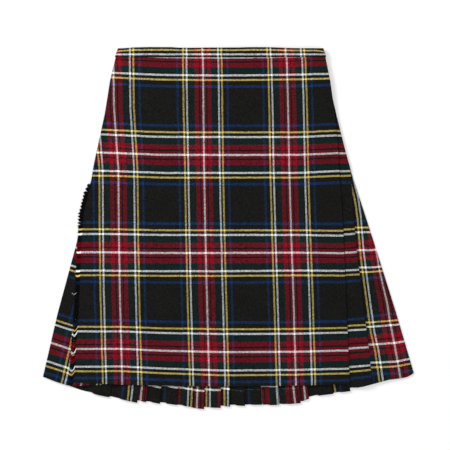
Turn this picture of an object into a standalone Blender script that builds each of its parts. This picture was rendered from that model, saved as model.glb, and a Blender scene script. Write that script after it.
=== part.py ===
# Scottish kilt, laid face up on a flat surface, 672 mm across the hem and 651 mm from waist to hem.
# The sizes below are in millimetres; the mesh helpers turn them into metres.
# X runs across the garment, Y up towards the waist, Z up from the surface that it lies on.
# The cloth goes round in a spiral: under apron, left side fold, pleated back, right side fold,
# one front pleat, the deep pleat, and the over apron with its fringed edge on top.
# Where two walls lie on each other, the upper one takes its heights from the same base and places.
import math

import bmesh
import bpy

MM = 0.001

# Cloth wall and the clearance between two walls that lie on each other
CLOTH = 1.0
SEAM_GAP = 0.3
LAYER = CLOTH + SEAM_GAP
FOLD_RADIUS = LAYER / 2
SIDE_FOLD_RADIUS = 1.0

# Whole garment
WAIST_Y = 325.5
HEM_DOWN = 592.0
HALF_HEM = 336.0
APRON_HEM = 609.0
BAND_HEIGHT = 16.5
BAND_EDGE = 1.3
BACK_BAND_INSET = 14.0
BACK_BAND_STEPS = 28

# Outline, a row for each section: distance down from the waist edge, then the reach from the
# centre line of the over apron's left side, the under layers' left side, the over apron's right
# fold, the front pleat's fold and the right side fold of the back
OUTLINE_COLUMNS = ("down", "apron_left", "under_left", "apron_right", "pleat_right", "back_right")
OUTLINE = (
    (0.0, 200.0, 197.5, 172.0, 170.0, 168.0),
    (16.0, 204.0, 201.5, 175.5, 173.5, 171.5),
    (60.0, 214.5, 212.0, 184.5, 182.5, 180.5),
    (120.0, 224.0, 221.5, 192.8, 196.5, 194.0),
    (240.0, 250.0, 246.5, 204.5, 225.0, 227.0),
    (360.0, 279.5, 277.5, 209.6, 236.2, 265.5),
    (480.0, 310.5, 310.0, 214.6, 247.2, 303.0),
    (592.0, 336.0, 336.0, 219.4, 258.0, 336.0),
    (614.0, 340.0, 340.0, 220.4, 260.0, 342.0),
)

# Over apron's fringed edge: how far its cloth runs on round the left side.
# A negative value is the distance that it stays inside the side
FRINGED_EDGE = (
    # down, past_side
    (0.0, 5.2),
    (60.0, 5.0),
    (120.0, 3.8),
    (180.0, 3.4),
    (240.0, 0.3),
    (300.0, 0.2),
    (360.0, -11.0),
    (430.0, -26.0),
    (480.0, -37.0),
    (592.0, -54.5),
    (614.0, -57.0),
)
SIDE_TURN = math.radians(135.0)

# Back pleats: where each inner fold meets the hem, from the centre line
PLEAT_HEMS = (-215.0, -165.0, -149.0, -124.0, -93.0, -65.0, -44.0, -14.0, 3.0, 30.0, 61.0, 92.0,
              131.0, 146.0, 190.0, 221.0, 252.0, 282.0)
PLEAT_RISE = (0.5, 1.8, 3.35)
PLEAT_DEPTH_SHARE = 0.62
PLEAT_RAMP_SHARE = 0.30
PLEAT_RAMP_LIMITS = (3.2, 9.0)
PLEAT_STEP = 3.0
FIRST_PLEAT_SEAM = 4.0
LAST_PLEAT_SEAM = 1.5

# Outer fold's steep face, measured from the fold's axis, and the places where the front layers
# start and end their climb onto the pleats
FOLD_FOOT = (1.45, 2.15)
FOLD_CREST = 0.3
CLIMB_FROM_SIDE = 4.0
CLIMB_PAST_FIRST_PLEAT = 0.85

# Hem and waist line of the back, which fans out into an arc below the aprons
ARC_CENTRE = -40.0
ARC_HEM_DOWN = 648.0
ARC_HEM_RISE = (52.0, 60.0)
ARC_WAIST_SAG = 36.0

# Under apron: its straight lines below the over apron, and how soon they leave the side's arc
UNDER_WAIST_SAG = 9.0
UNDER_HEM_DOWN = 611.0
UNDER_TURN_WIDTH = 90.0
UNDER_EDGE_GAP = 4.0

# Front pleats on the right
PLEAT_HEM_DOWN = 615.0
FRONT_PLEAT_DEPTH = 13.0
FRONT_PLEAT_RAMP = 16.0
APRON_RAMP_LAYERS = 2.4
DEEP_PLEAT_DEPTH = 62.0
DEEP_PLEAT_RAMP = 24.0
DEEP_SEAM = 9.0

# Soft troughs down the over apron, which is a little fuller than the layers that it covers
APRON_TROUGHS = (
    # across, half_width, depth
    (-88.0, 26.0, 1.6),
    (28.0, 22.0, 2.2),
    (128.0, 30.0, 1.2),
)
APRON_FULLNESS = 2.4
APRON_SAG = 4.0
APRON_CORNER = 5.0

# Fringe of drawn threads along the over apron's edge
FRINGE_FROM = 242.0
FRINGE_TO = 605.0
FRINGE_STRANDS = 92
FRINGE_STRIP = 2.0
FRINGE_LENGTH = 6.5
FRINGE_DROP = 4.0
FRINGE_FALL = 1.5
FRINGE_CLEARANCE = 0.2

# Sections down the length, shared by every wall that lies on another
BACK_ROWS = (0.0, 16.0, 60.0, 120.0, 240.0, 360.0, 480.0, 592.0)
FRONT_ROWS = (0.0, 16.0, 60.0, 120.0, 180.0, 240.0, 300.0, 360.0, 420.0, 480.0, 592.0)
APRON_ROWS = (BAND_EDGE, 16.0, 60.0, 120.0, 180.0, 240.0, 300.0, 360.0, 420.0, 480.0, 540.0, APRON_HEM)
KNOT_SPACING = 0.25

# Colour and roughness of each piece's finish
FINISHES = {
    "pleated_back": ("tartan_back", (0.016, 0.017, 0.017), 0.9),
    "front_pleats": ("tartan_front_pleats", (0.040, 0.020, 0.020), 0.9),
    "under_apron": ("tartan_under_apron", (0.030, 0.016, 0.016), 0.9),
    "over_apron": ("tartan_over_apron", (0.050, 0.014, 0.016), 0.88),
    "waistband_front": ("tartan_band_front", (0.060, 0.055, 0.030), 0.85),
    "waistband_back": ("tartan_band_back", (0.020, 0.020, 0.018), 0.85),
    "apron_fringe": ("drawn_threads", (0.016, 0.016, 0.017), 0.95),
}


def smooth(value):
    """Soft step from 0 to 1."""
    clipped = min(max(value, 0.0), 1.0)
    return clipped * clipped * (3.0 - 2.0 * clipped)


def spread(start, end, steps):
    return [start + (end - start) * step / steps for step in range(steps + 1)]


def between(table, down, column=1):
    """Value of a table's column at a distance down, along straight lines between its rows."""
    for upper, lower in zip(table, table[1:]):
        if down <= lower[0]:
            share = max(down - upper[0], 0.0) / (lower[0] - upper[0])
            return upper[column] + share * (lower[column] - upper[column])
    return table[-1][column]


def outline(column, down):
    return between(OUTLINE, down, OUTLINE_COLUMNS.index(column))


def fan_share(down, across):
    """Width of the fanned back at a section, as a share of its width at the hem."""
    side = "under_left" if across < 0.0 else "back_right"
    return outline(side, down) / outline(side, HEM_DOWN)


def fan(hem_across, down):
    """Place of a pleat line that fans out from the waist to this place at the hem."""
    return hem_across * fan_share(down, hem_across)


def arc_line_y(down, across):
    """Y of the back's section line that meets the sides at this distance down."""
    from_centre = across / fan_share(down, across) - ARC_CENTRE
    on_left = from_centre < 0.0
    half_width = HALF_HEM + (ARC_CENTRE if on_left else -ARC_CENTRE)
    hem_rise = ARC_HEM_RISE[0] if on_left else ARC_HEM_RISE[1]
    share = min((from_centre / half_width) ** 2, 1.1)
    waist = ARC_WAIST_SAG * (1.0 - share) + BAND_EDGE
    hem = ARC_HEM_DOWN - hem_rise * share
    return WAIST_Y - (waist + (hem - waist) * down / HEM_DOWN)


def band_lift(down):
    """Rise of the back's wall over its waistband."""
    return LAYER if down <= BAND_HEIGHT else 0.0


def base_ramps(down):
    """Places where the front layers climb from the two sides onto the back's pleats."""
    left_side = -outline("under_left", down) + CLIMB_FROM_SIDE
    left_pleats = fan(PLEAT_HEMS[0], down) - CLIMB_PAST_FIRST_PLEAT * pleat_spacing(0, down)
    right_pleats = fan(PLEAT_HEMS[-1], down)
    right_side = outline("back_right", down) - CLIMB_FROM_SIDE
    return left_side, left_pleats, right_pleats, right_side


def front_level(down, across, layers=0.0):
    """Middle height of a front wall with this many layers between it and the back."""
    left_side, left_pleats, right_pleats, right_side = base_ramps(down)
    from_left = smooth((across - left_side) / (left_pleats - left_side))
    from_right = smooth((right_side - across) / (right_side - right_pleats))
    at_side = CLOTH / 2 + 2 * SIDE_FOLD_RADIUS
    on_pleats = PLEAT_RISE[2] + LAYER
    waist = LAYER * smooth((120.0 - down) / 60.0)
    return at_side + (on_pleats - at_side) * min(from_left, from_right) + waist + LAYER * layers


def half_turn(centre_x, centre_z, radius, from_degrees, to_degrees, steps):
    """Points inside a fold, without its two ends."""
    points = []
    for step in range(1, steps):
        angle = math.radians(from_degrees + (to_degrees - from_degrees) * step / steps)
        points.append((centre_x + radius * math.cos(angle), centre_z + radius * math.sin(angle)))
    return points


def pleat_spacing(index, down):
    first = max(index, 1)
    return fan(PLEAT_HEMS[first], down) - fan(PLEAT_HEMS[first - 1], down)


def pleat_section(index, down):
    """One knife pleat: up over its outer fold, along the inner layer, round the inner fold,
    back, and round the outer fold onto the surface. Each point is across, height and step."""
    low, middle, high = PLEAT_RISE
    lower_radius = (middle - low) / 2
    upper_radius = (high - middle) / 2
    spacing = pleat_spacing(index, down)
    inner_fold = fan(PLEAT_HEMS[index], down)
    outer_fold = inner_fold - PLEAT_DEPTH_SHARE * spacing
    ramp = min(max(PLEAT_RAMP_SHARE * spacing, PLEAT_RAMP_LIMITS[0]), PLEAT_RAMP_LIMITS[1])
    outer_x = outer_fold + CLOTH / 2 + lower_radius
    inner_x = inner_fold - CLOTH / 2 - upper_radius
    foot_x, foot_rise = FOLD_FOOT
    rise = [(outer_x - ramp, low), (outer_x - foot_x, low + foot_rise), (outer_x + FOLD_CREST, high)]
    inner = [(inner_x, high)]
    inner += half_turn(inner_x, middle + upper_radius, upper_radius, 90.0, -90.0, 3)
    inner += [(inner_x, middle)]
    outer = [(outer_x, middle)]
    outer += half_turn(outer_x, low + lower_radius, lower_radius, 90.0, 270.0, 3)
    outer += [(outer_x, low)]
    drop = PLEAT_STEP * (down / HEM_DOWN) ** 4
    return ([(x, z, 0.6 * drop) for x, z in rise]
            + [(x, z, -drop) for x, z in inner]
            + [(x, z, 0.0) for x, z in outer])


def on_back(points, down):
    lift = band_lift(down)
    return [(x, arc_line_y(down, x) + step, z + lift) for x, z, step in points]


def clipped(knots, low, high):
    """The knots in rising order, moved inside two limits and kept a little apart."""
    last = len(knots) - 1
    placed = []
    for index, knot in enumerate(sorted(knots)):
        lowest = low + KNOT_SPACING * (index + 1)
        highest = high - KNOT_SPACING * (last - index + 1)
        placed.append(min(max(knot, lowest), highest))
    return placed


def right_knots(down):
    """Places that every layer of the right front is measured at."""
    _, _, right_pleats, right_side = base_ramps(down)
    shoulder = outline("pleat_right", down) - FRONT_PLEAT_DEPTH
    return spread(shoulder - FRONT_PLEAT_RAMP, shoulder, 4) + spread(right_pleats, right_side, 3)


def pleat_ramp(down, across):
    """Share of the way up onto the front pleat, 0 left of it and 1 on it."""
    shoulder = outline("pleat_right", down) - FRONT_PLEAT_DEPTH
    return smooth((across - shoulder + FRONT_PLEAT_RAMP) / FRONT_PLEAT_RAMP)


def front_pleat_line_y(down, across):
    """Y on the front pleats, between the over apron's straight hem and the back's arc."""
    share = smooth((across - outline("apron_right", down) + 10.0) / 50.0)
    straight = WAIST_Y - BAND_EDGE - down * (PLEAT_HEM_DOWN - BAND_EDGE) / HEM_DOWN
    return straight + (arc_line_y(down, across) - straight) * share


def last_pleat_parts(down):
    """The last back pleat, split where its inner layer is seamed to the front pleats."""
    last = pleat_section(len(PLEAT_HEMS) - 1, down)
    seam = (last[3][0] - LAST_PLEAT_SEAM, PLEAT_RISE[2], last[3][2])
    return last[:3] + [seam], [(seam[0] + SEAM_GAP, seam[1], seam[2])] + last[3:]


def front_pleats_section(down):
    """From the seam in the last back pleat round the right side fold, then the front pleat and
    the lower layer of the deep pleat."""
    knots = right_knots(down)
    low = CLOTH / 2 + band_lift(down)
    side_x = outline("back_right", down)
    side_top = front_level(down, side_x)
    side_radius = (side_top - low) / 2
    centre_x = side_x - CLOTH / 2 - side_radius
    pleat_x = outline("pleat_right", down) - CLOTH / 2 - FOLD_RADIUS
    tuck_x = outline("pleat_right", down) - FRONT_PLEAT_DEPTH + CLOTH / 2 + FOLD_RADIUS
    deep_x = outline("apron_right", down) - DEEP_PLEAT_DEPTH + CLOTH / 2 + FOLD_RADIUS
    seam_x = deep_x + DEEP_SEAM
    _, last_pleat = last_pleat_parts(down)
    floor = [(x, CLOTH / 2, 0.0) for x in spread(last_pleat[-1][0], centre_x, 3)[1:]]
    turn = half_turn(centre_x, low + side_radius, side_radius, -90.0, 90.0, 4)
    side = on_back(last_pleat + floor, down) + [(x, arc_line_y(down, x), z) for x, z in turn]
    points = [(centre_x, side_top)]
    points += [(x, front_level(down, x)) for x in reversed(clipped(knots, tuck_x, centre_x))]
    points += [(tuck_x, front_level(down, tuck_x))]
    points += half_turn(tuck_x, front_level(down, tuck_x, 0.5), FOLD_RADIUS, 270.0, 90.0, 3)
    points += [(tuck_x, front_level(down, tuck_x, 1.0))]
    points += [(x, front_level(down, x, 1.0)) for x in clipped(knots, tuck_x, pleat_x)]
    points += [(pleat_x, front_level(down, pleat_x, 1.0))]
    points += half_turn(pleat_x, front_level(down, pleat_x, 1.5), FOLD_RADIUS, -90.0, 90.0, 3)
    points += [(pleat_x, front_level(down, pleat_x, 2.0))]
    points += [(x, front_level(down, x, 2.0 * pleat_ramp(down, x)))
               for x in reversed(clipped(knots, deep_x, pleat_x))]
    points += [(deep_x, front_level(down, deep_x))]
    points += half_turn(deep_x, front_level(down, deep_x, 0.5), FOLD_RADIUS, 270.0, 90.0, 3)
    points += [(deep_x, front_level(down, deep_x, 1.0)), (seam_x, front_level(down, seam_x, 1.0))]
    return side + [(x, front_pleat_line_y(down, x), z) for x, z in points]


def pleated_back_section(down):
    """The back from the seam inside its first pleat to the seam inside its last one."""
    first = pleat_section(0, down)
    points = [(first[3][0] - FIRST_PLEAT_SEAM, PLEAT_RISE[2], first[3][2])] + first[3:]
    for index in range(1, len(PLEAT_HEMS) - 1):
        points += pleat_section(index, down)
    last_rise, _ = last_pleat_parts(down)
    return on_back(points + last_rise, down)


def left_knots(down):
    """Places that both aprons are measured at near the left side."""
    left_side, left_pleats, _, _ = base_ramps(down)
    return spread(left_side, left_pleats, 6)


def under_line_y(down, across):
    """Y on the under apron, from the arc at its side to a straight line below the over apron."""
    share = smooth((across + outline("under_left", down)) / UNDER_TURN_WIDTH)
    straight = WAIST_Y - UNDER_WAIST_SAG - down * (UNDER_HEM_DOWN - UNDER_WAIST_SAG) / HEM_DOWN
    return arc_line_y(down, across) * (1.0 - share) + straight * share


def under_apron_section(down):
    """Under apron from its free edge to the left side fold, then the back's first face."""
    free_edge = outline("apron_right", down) - DEEP_PLEAT_DEPTH - UNDER_EDGE_GAP
    side_x = -outline("under_left", down)
    low = CLOTH / 2 + band_lift(down)
    side_top = front_level(down, side_x)
    side_radius = (side_top - low) / 2
    centre_x = side_x + CLOTH / 2 + side_radius
    knots = clipped(left_knots(down), centre_x, 0.0)
    across = spread(free_edge, knots[-1], 4)[:-1] + knots[::-1] + [centre_x]
    front = [(x, front_level(down, x)) for x in across]
    turn = half_turn(centre_x, low + side_radius, side_radius, 90.0, 270.0, 4)
    side = [(x, under_line_y(down, x), z) for x, z in front + turn]
    first = pleat_section(0, down)
    seam_x = first[3][0] - FIRST_PLEAT_SEAM - SEAM_GAP
    back = [(x, CLOTH / 2, 0.0) for x in spread(centre_x, first[0][0], 3)[:-1]]
    back += first[:3] + [(seam_x, PLEAT_RISE[2], first[3][2])]
    return side + on_back(back, down)


def apron_fullness(down, across):
    """Soft rise of the over apron between its long troughs."""
    window = smooth((down - 60.0) / 120.0) * smooth((640.0 - down) / 120.0)
    inside = smooth((across + outline("apron_left", down) - 30.0) / 90.0)
    inside *= smooth((outline("apron_right", down) - 20.0 - across) / 60.0)
    height = APRON_FULLNESS
    for place, half_width, depth in APRON_TROUGHS:
        height -= depth * math.exp(-((across - place) / half_width) ** 2)
    return height * window * inside


def apron_line_y(down, across):
    edge = outline("apron_right", down)
    sag = APRON_SAG * (down / HEM_DOWN) * (1.0 - min(abs(across / edge), 1.3) ** 2)
    corner = APRON_CORNER * (down / HEM_DOWN) ** 8 * smooth((across - edge + 8.0) / 8.0)
    return WAIST_Y - down - sag - corner


def apron_top_z(down, across):
    """Height of the over apron's face over the layers that it covers."""
    deep_fold = outline("apron_right", down) - DEEP_PLEAT_DEPTH
    on_deep_pleat = smooth((across - deep_fold + DEEP_PLEAT_RAMP) / DEEP_PLEAT_RAMP)
    layers = 1.0 + on_deep_pleat + APRON_RAMP_LAYERS * pleat_ramp(down, across)
    return front_level(down, across, layers) + apron_fullness(down, across)


def apron_side(down):
    """Where the over apron leaves the top near its left side, and the radius that it turns on."""
    side_x = -outline("apron_left", down)
    top_z = apron_top_z(down, side_x)
    radius = (top_z - CLOTH / 2) / 2
    return side_x + CLOTH / 2 + radius, top_z, radius


def apron_side_point(down, past):
    """Point on the over apron's section at a length past the place where it leaves the top."""
    turn_x, top_z, radius = apron_side(down)
    if past < 0.0:
        return turn_x - past, apron_top_z(down, turn_x - past)
    angle = math.pi / 2 + past / radius
    return turn_x + radius * math.cos(angle), top_z - radius + radius * math.sin(angle)


def apron_face(down):
    """Over apron's face from its right fold to the places near its left side."""
    fold_x = outline("apron_right", down) - CLOTH / 2 - FOLD_RADIUS
    seam_x = outline("apron_right", down) - DEEP_PLEAT_DEPTH + CLOTH + DEEP_SEAM
    deep_fold = outline("apron_right", down) - DEEP_PLEAT_DEPTH
    turn_x, _, _ = apron_side(down)
    near_side = clipped(left_knots(down), max(turn_x, turn_x - between(FRINGED_EDGE, down)) + 4.0, 0.0)
    across = [fold_x] + clipped(right_knots(down), seam_x, fold_x)[::-1]
    across += spread(deep_fold, deep_fold - DEEP_PLEAT_RAMP, 4)
    across += spread(deep_fold - DEEP_PLEAT_RAMP, near_side[-1], 14)[1:-1] + near_side[::-1]
    return [(x, apron_top_z(down, x)) for x in across]


def apron_section(down):
    """Over apron from the seam inside the deep pleat, round its right fold, to the fringed edge."""
    seam_x = (outline("apron_right", down) - DEEP_PLEAT_DEPTH + CLOTH / 2 + FOLD_RADIUS
              + DEEP_SEAM + SEAM_GAP)
    fold_x = outline("apron_right", down) - CLOTH / 2 - FOLD_RADIUS
    across = [seam_x] + clipped(right_knots(down), seam_x, fold_x) + [fold_x]
    returned = [(x, front_level(down, x, 1.0 + APRON_RAMP_LAYERS * pleat_ramp(down, x))) for x in across]
    face = apron_face(down)
    fold_low = returned[-1][1]
    fold_top = face[0][1]
    turn = half_turn(fold_x, (fold_top + fold_low) / 2, (fold_top - fold_low) / 2, -90.0, 90.0, 3)
    past_side = between(FRINGED_EDGE, down)
    _, _, radius = apron_side(down)
    lengths = spread(0.0, SIDE_TURN * radius, 4)
    last = len(lengths) - 1
    side = []
    for step, length in enumerate(lengths):
        past = min(length, past_side - KNOT_SPACING * (last - step))
        side.append(apron_side_point(down, past))
    return [(x, apron_line_y(down, x), z) for x, z in returned + turn + face + side]


def front_band_sections():
    """Waistband on the over apron: a face, and a turned edge that covers the cloth's top."""
    profile = (
        # offset, down
        (LAYER, BAND_HEIGHT),
        (LAYER, BAND_HEIGHT / 2),
        (LAYER, 1.1),
        (0.9, 0.5),
        (-0.4, 0.5),
    )
    sections = []
    for offset, down in profile:
        fold_x, fold_top = apron_face(down)[0]
        turn_x, top_z, radius = apron_side(down)
        turn = half_turn(fold_x, fold_top - FOLD_RADIUS, FOLD_RADIUS + offset, -30.0, 90.0, 4)
        face = [(x, z + offset) for x, z in apron_face(down)]
        side = half_turn(turn_x, top_z - radius, radius + offset, 60.0, 210.0, 5)
        sections.append([(x, apron_line_y(down, x), z) for x, z in turn + face + side])
    return sections


def back_band_sections():
    """Waistband under the pleats, from side to side, with its edge turned up over their tops."""
    profile = (
        # rise, down
        (0.0, BAND_HEIGHT),
        (0.0, -0.5),
        (0.5, -1.0),
        (None, -1.0),
    )
    across = spread(outline("back_right", 0.0) - BACK_BAND_INSET,
                    BACK_BAND_INSET - outline("under_left", 0.0), BACK_BAND_STEPS)
    sections = []
    for rise, down in profile:
        heights = [front_level(0.0, x) - LAYER / 2 - SEAM_GAP / 2 if rise is None else CLOTH / 2 + rise
                   for x in across]
        sections.append([(x, arc_line_y(0.0, x) - down, z) for x, z in zip(across, heights)])
    return sections


def collection_for(name):
    collection = bpy.data.collections.new(name)
    bpy.context.scene.collection.children.link(collection)
    return collection


def cloth_material(node):
    name, colour, roughness = FINISHES[node]
    material = bpy.data.materials.new(name)
    material.use_nodes = True
    shader = material.node_tree.nodes["Principled BSDF"]
    shader.inputs["Base Color"].default_value = (*colour, 1.0)
    shader.inputs["Roughness"].default_value = roughness
    shader.inputs["Metallic"].default_value = 0.0
    return material


def add_object(name, mesh, collection):
    mesh.materials.append(cloth_material(name))
    mesh.shade_smooth()
    mesh.set_sharp_from_angle(angle=math.radians(40.0))
    piece = bpy.data.objects.new(name, mesh)
    collection.objects.link(piece)
    return piece


def loft(name, sections, collection):
    """Open surface through the sections, given its wall by Solidify."""
    vertices = [(x * MM, y * MM, z * MM) for section in sections for x, y, z in section]
    count = len(sections[0])
    faces = []
    for row in range(len(sections) - 1):
        for column in range(count - 1):
            start = row * count + column
            faces.append((start, start + 1, start + count + 1, start + count))
    mesh = bpy.data.meshes.new(name)
    mesh.from_pydata(vertices, [], faces)
    piece = add_object(name, mesh, collection)
    wall = piece.modifiers.new("wall", "SOLIDIFY")
    wall.thickness = CLOTH * MM
    wall.offset = 0.0
    wall.use_even_offset = True
    wall.use_quality_normals = True
    return piece


def thread_rest(down, across):
    """Lowest height of a thread, on the under apron or level with its side."""
    side = -outline("under_left", down)
    return front_level(down, max(across, side), 1.0 + FRINGE_CLEARANCE)


def draw_thread(mesh, face, step):
    """Two lengths of a four-sided thread out of a face of the strip, uneven and drooping."""
    wave = 0.5 * math.sin(step * 2.4) + 0.5 * math.sin(step * 0.83)
    reach = FRINGE_LENGTH * (1.0 + 0.25 * wave)
    drop = FRINGE_DROP * (1.0 + 0.3 * math.sin(step * 0.31))
    root = face.calc_center_median()
    for share, size in ((0.5, 0.8), (1.0, 0.7)):
        grown = bmesh.ops.extrude_discrete_faces(mesh, faces=[face])
        face = grown["faces"][0]
        centre = face.calc_center_median()
        across = root.x / MM - reach * share
        along = root.y / MM - drop * share * share
        height = max(root.z / MM - FRINGE_FALL * share, thread_rest(WAIST_Y - along, across))
        target = (across * MM, along * MM, height * MM)
        for vertex in face.verts:
            offset = [(vertex.co[axis] - centre[axis]) * size for axis in range(3)]
            vertex.co = [target[axis] + offset[axis] for axis in range(3)]


def fringe(collection):
    """A narrow strip along the cut edge, with a drawn thread standing from every second face."""
    steps = 2 * FRINGE_STRANDS + 1
    mesh = bmesh.new()
    rings = []
    for down in spread(FRINGE_FROM, FRINGE_TO, steps):
        x, z = apron_side_point(down, between(FRINGED_EDGE, down))
        y = apron_line_y(down, x)
        low = z + FRINGE_CLEARANCE - CLOTH / 2
        near_x = x - SEAM_GAP * (1.0 + smooth((330.0 - down) / 90.0))
        far_x = near_x - FRINGE_STRIP
        corners = ((near_x, low), (near_x, low + CLOTH), (far_x, low + CLOTH), (far_x, low))
        rings.append([mesh.verts.new((cx * MM, y * MM, cz * MM)) for cx, cz in corners])
    strand_faces = []
    for step in range(steps):
        for side in range(4):
            after = (side + 1) % 4
            face = mesh.faces.new((rings[step][side], rings[step][after],
                                   rings[step + 1][after], rings[step + 1][side]))
            if side == 2 and step % 2 == 1:
                strand_faces.append((face, step))
    mesh.faces.new(rings[0][::-1])
    mesh.faces.new(rings[-1])
    for face, step in strand_faces:
        draw_thread(mesh, face, step)
    bmesh.ops.recalc_face_normals(mesh, faces=mesh.faces)
    data = bpy.data.meshes.new("apron_fringe")
    mesh.to_mesh(data)
    mesh.free()
    return add_object("apron_fringe", data, collection)


def clear_scene():
    for piece in list(bpy.data.objects):
        bpy.data.objects.remove(piece, do_unlink=True)


def build_kilt():
    clear_scene()
    kilt = collection_for("scottish_kilt")
    loft("pleated_back", [pleated_back_section(down) for down in BACK_ROWS], kilt)
    loft("front_pleats", [front_pleats_section(down) for down in FRONT_ROWS], kilt)
    loft("under_apron", [under_apron_section(down) for down in FRONT_ROWS], kilt)
    loft("over_apron", [apron_section(down) for down in APRON_ROWS], kilt)
    loft("waistband_front", front_band_sections(), kilt)
    loft("waistband_back", back_band_sections(), kilt)
    fringe(kilt)


build_kilt()
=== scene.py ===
# %% [markdown]
# # A tartan kilt laid flat, face up
# The kilt is one long piece of wool twill that goes round in a spiral: the under apron, the
# left side, a back of knife pleats, the right side with one front pleat and a deep pleat, and
# the over apron with its fringed edge on top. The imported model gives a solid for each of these.
# Here each solid is replaced by a thinner, finer wall of cloth that follows the same sizes, so
# that it keeps the same place, and the tartan is woven on it by its own thread coordinates.

import math

import bpy
import numpy as np
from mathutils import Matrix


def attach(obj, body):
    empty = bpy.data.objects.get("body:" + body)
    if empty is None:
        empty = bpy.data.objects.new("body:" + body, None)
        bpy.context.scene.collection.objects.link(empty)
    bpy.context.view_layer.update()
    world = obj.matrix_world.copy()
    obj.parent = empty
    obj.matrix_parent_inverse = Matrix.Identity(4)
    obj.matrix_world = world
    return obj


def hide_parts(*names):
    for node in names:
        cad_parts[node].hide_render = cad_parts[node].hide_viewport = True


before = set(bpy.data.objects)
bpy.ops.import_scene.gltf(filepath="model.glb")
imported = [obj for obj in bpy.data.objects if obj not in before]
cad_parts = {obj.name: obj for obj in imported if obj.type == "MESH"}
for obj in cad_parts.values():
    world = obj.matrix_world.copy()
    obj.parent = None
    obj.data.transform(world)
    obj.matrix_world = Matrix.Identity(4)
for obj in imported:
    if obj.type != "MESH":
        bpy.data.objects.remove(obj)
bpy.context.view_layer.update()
print("frame nodes:", ", ".join(sorted(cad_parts)))

# %% [markdown]
# ## Sizes of the garment
# All sizes are millimetres, with X across the garment, `down` measured from the waist edge, and
# Z up from the surface. They are the driving sizes that the solids were made from. The edges on
# the right were measured once more from close up, which moves them here by up to 3.5 mm. The
# outline table has a row for each place where an edge turns, and everything between two rows is
# interpolated.

# %% Sizes of the garment
MM = 0.001
CLOTH = 0.7  # thickness of the walls made here
LAYER = 1.3  # from the middle of one layer to the next
SOLID_WALL = 1.0  # thickness of the solids' walls
FOLD_RADIUS = LAYER / 2
SIDE_FOLD_RADIUS = 1.0
SEAM_GAP = 0.3  # air between two pieces at a seam
WAIST_Y = 325.5
HEM_DOWN = 592.0
HALF_HEM = 336.0
APRON_HEM = 609.0
BAND_HEIGHT = 16.5
BAND_EDGE = 1.3  # how far the body's cloth starts below the top of its waistband
OUTLINE_COLUMNS = ("down", "apron_left", "under_left", "apron_right", "pleat_right", "back_right")
OUTLINE = (
    (0.0, 200.0, 197.5, 172.0, 170.0, 168.0),
    (16.0, 204.0, 201.5, 175.5, 173.5, 171.5),
    (60.0, 214.5, 212.0, 184.5, 182.5, 180.5),
    (120.0, 224.0, 221.5, 192.8, 196.5, 194.0),
    (180.0, 237.0, 234.0, 198.6, 211.5, 209.5),
    (219.0, 245.5, 242.1, 200.9, 221.6, 221.2),
    (240.0, 250.0, 246.5, 202.2, 222.9, 227.0),
    (285.0, 261.1, 258.1, 205.4, 226.0, 241.4),
    (325.0, 270.9, 268.5, 208.1, 229.4, 254.3),
    (360.0, 279.5, 277.5, 209.6, 232.8, 265.5),
    (480.0, 310.5, 310.0, 214.6, 248.0, 303.0),
    (537.0, 323.5, 323.2, 217.0, 255.2, 319.8),
    (592.0, 336.0, 336.0, 219.4, 260.6, 336.0),
    (614.0, 340.0, 340.0, 220.4, 263.0, 342.0),
)


def smooth(value):
    """Soft step from 0 to 1."""
    held = np.clip(value, 0.0, 1.0)
    return held * held * (3.0 - 2.0 * held)


def read(table, place, column=1):
    """A table's column at a place, in straight stretches from row to row."""
    return np.interp(place, [row[0] for row in table], [row[column] for row in table])


def read_row(table, place):
    """Every column of a table at a place, but for the first."""
    return [float(read(table, place, column)) for column in range(1, len(table[0]))]


def outline(name, down):
    return read(OUTLINE, down, OUTLINE_COLUMNS.index(name))


print("hem width %.0f mm, waist width %.0f mm"
      % (2 * HALF_HEM, outline("apron_left", 0.0) + outline("apron_right", 0.0)))

# %% [markdown]
# ## How the back fans out
# The back is the widest part. Its pleats run from a narrow waist to a wide hem, so a pleat's
# place at any height is its place at the hem times a share. The hem of the back is an arc,
# which is why it peeps out below the straight hem of the aprons.

# %% The back's fan and its arc
PLEAT_HEMS = (-215.0, -165.0, -149.0, -124.0, -93.0, -65.0, -44.0, -14.0, 3.0, 30.0, 61.0, 92.0,
              131.0, 146.0, 190.0, 221.0, 252.0, 282.0)
LAST_PLEAT = len(PLEAT_HEMS) - 1
ARC_CENTRE = -40.0
ARC_HEM_DOWN = 648.0
ARC_HEM_RISE = (52.0, 60.0)
ARC_WAIST_SAG = 36.0
ARC_SHARE_LIMIT = 1.1
HEM_ONLY = 8  # power of the share down that keeps a change of outline near the hem
HEM_DROOP = (
    # place at the hem, how far the cloth hangs below the arc there
    (-300.0, 0.0), (-285.0, 3.0), (-262.0, 4.5), (-240.0, 3.0), (-225.0, 1.5), (-214.0, 0.0),
    (291.0, 0.0), (301.0, 1.8), (312.0, 3.5), (323.0, 5.0), (332.0, 3.0), (336.0, 1.0),
)


def fan_share(down, across):
    left = outline("under_left", down)
    right = outline("back_right", down)
    return np.where(np.asarray(across) < 0.0, left, right) / HALF_HEM


def fan(hem_across, down):
    return hem_across * fan_share(down, hem_across)


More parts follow.
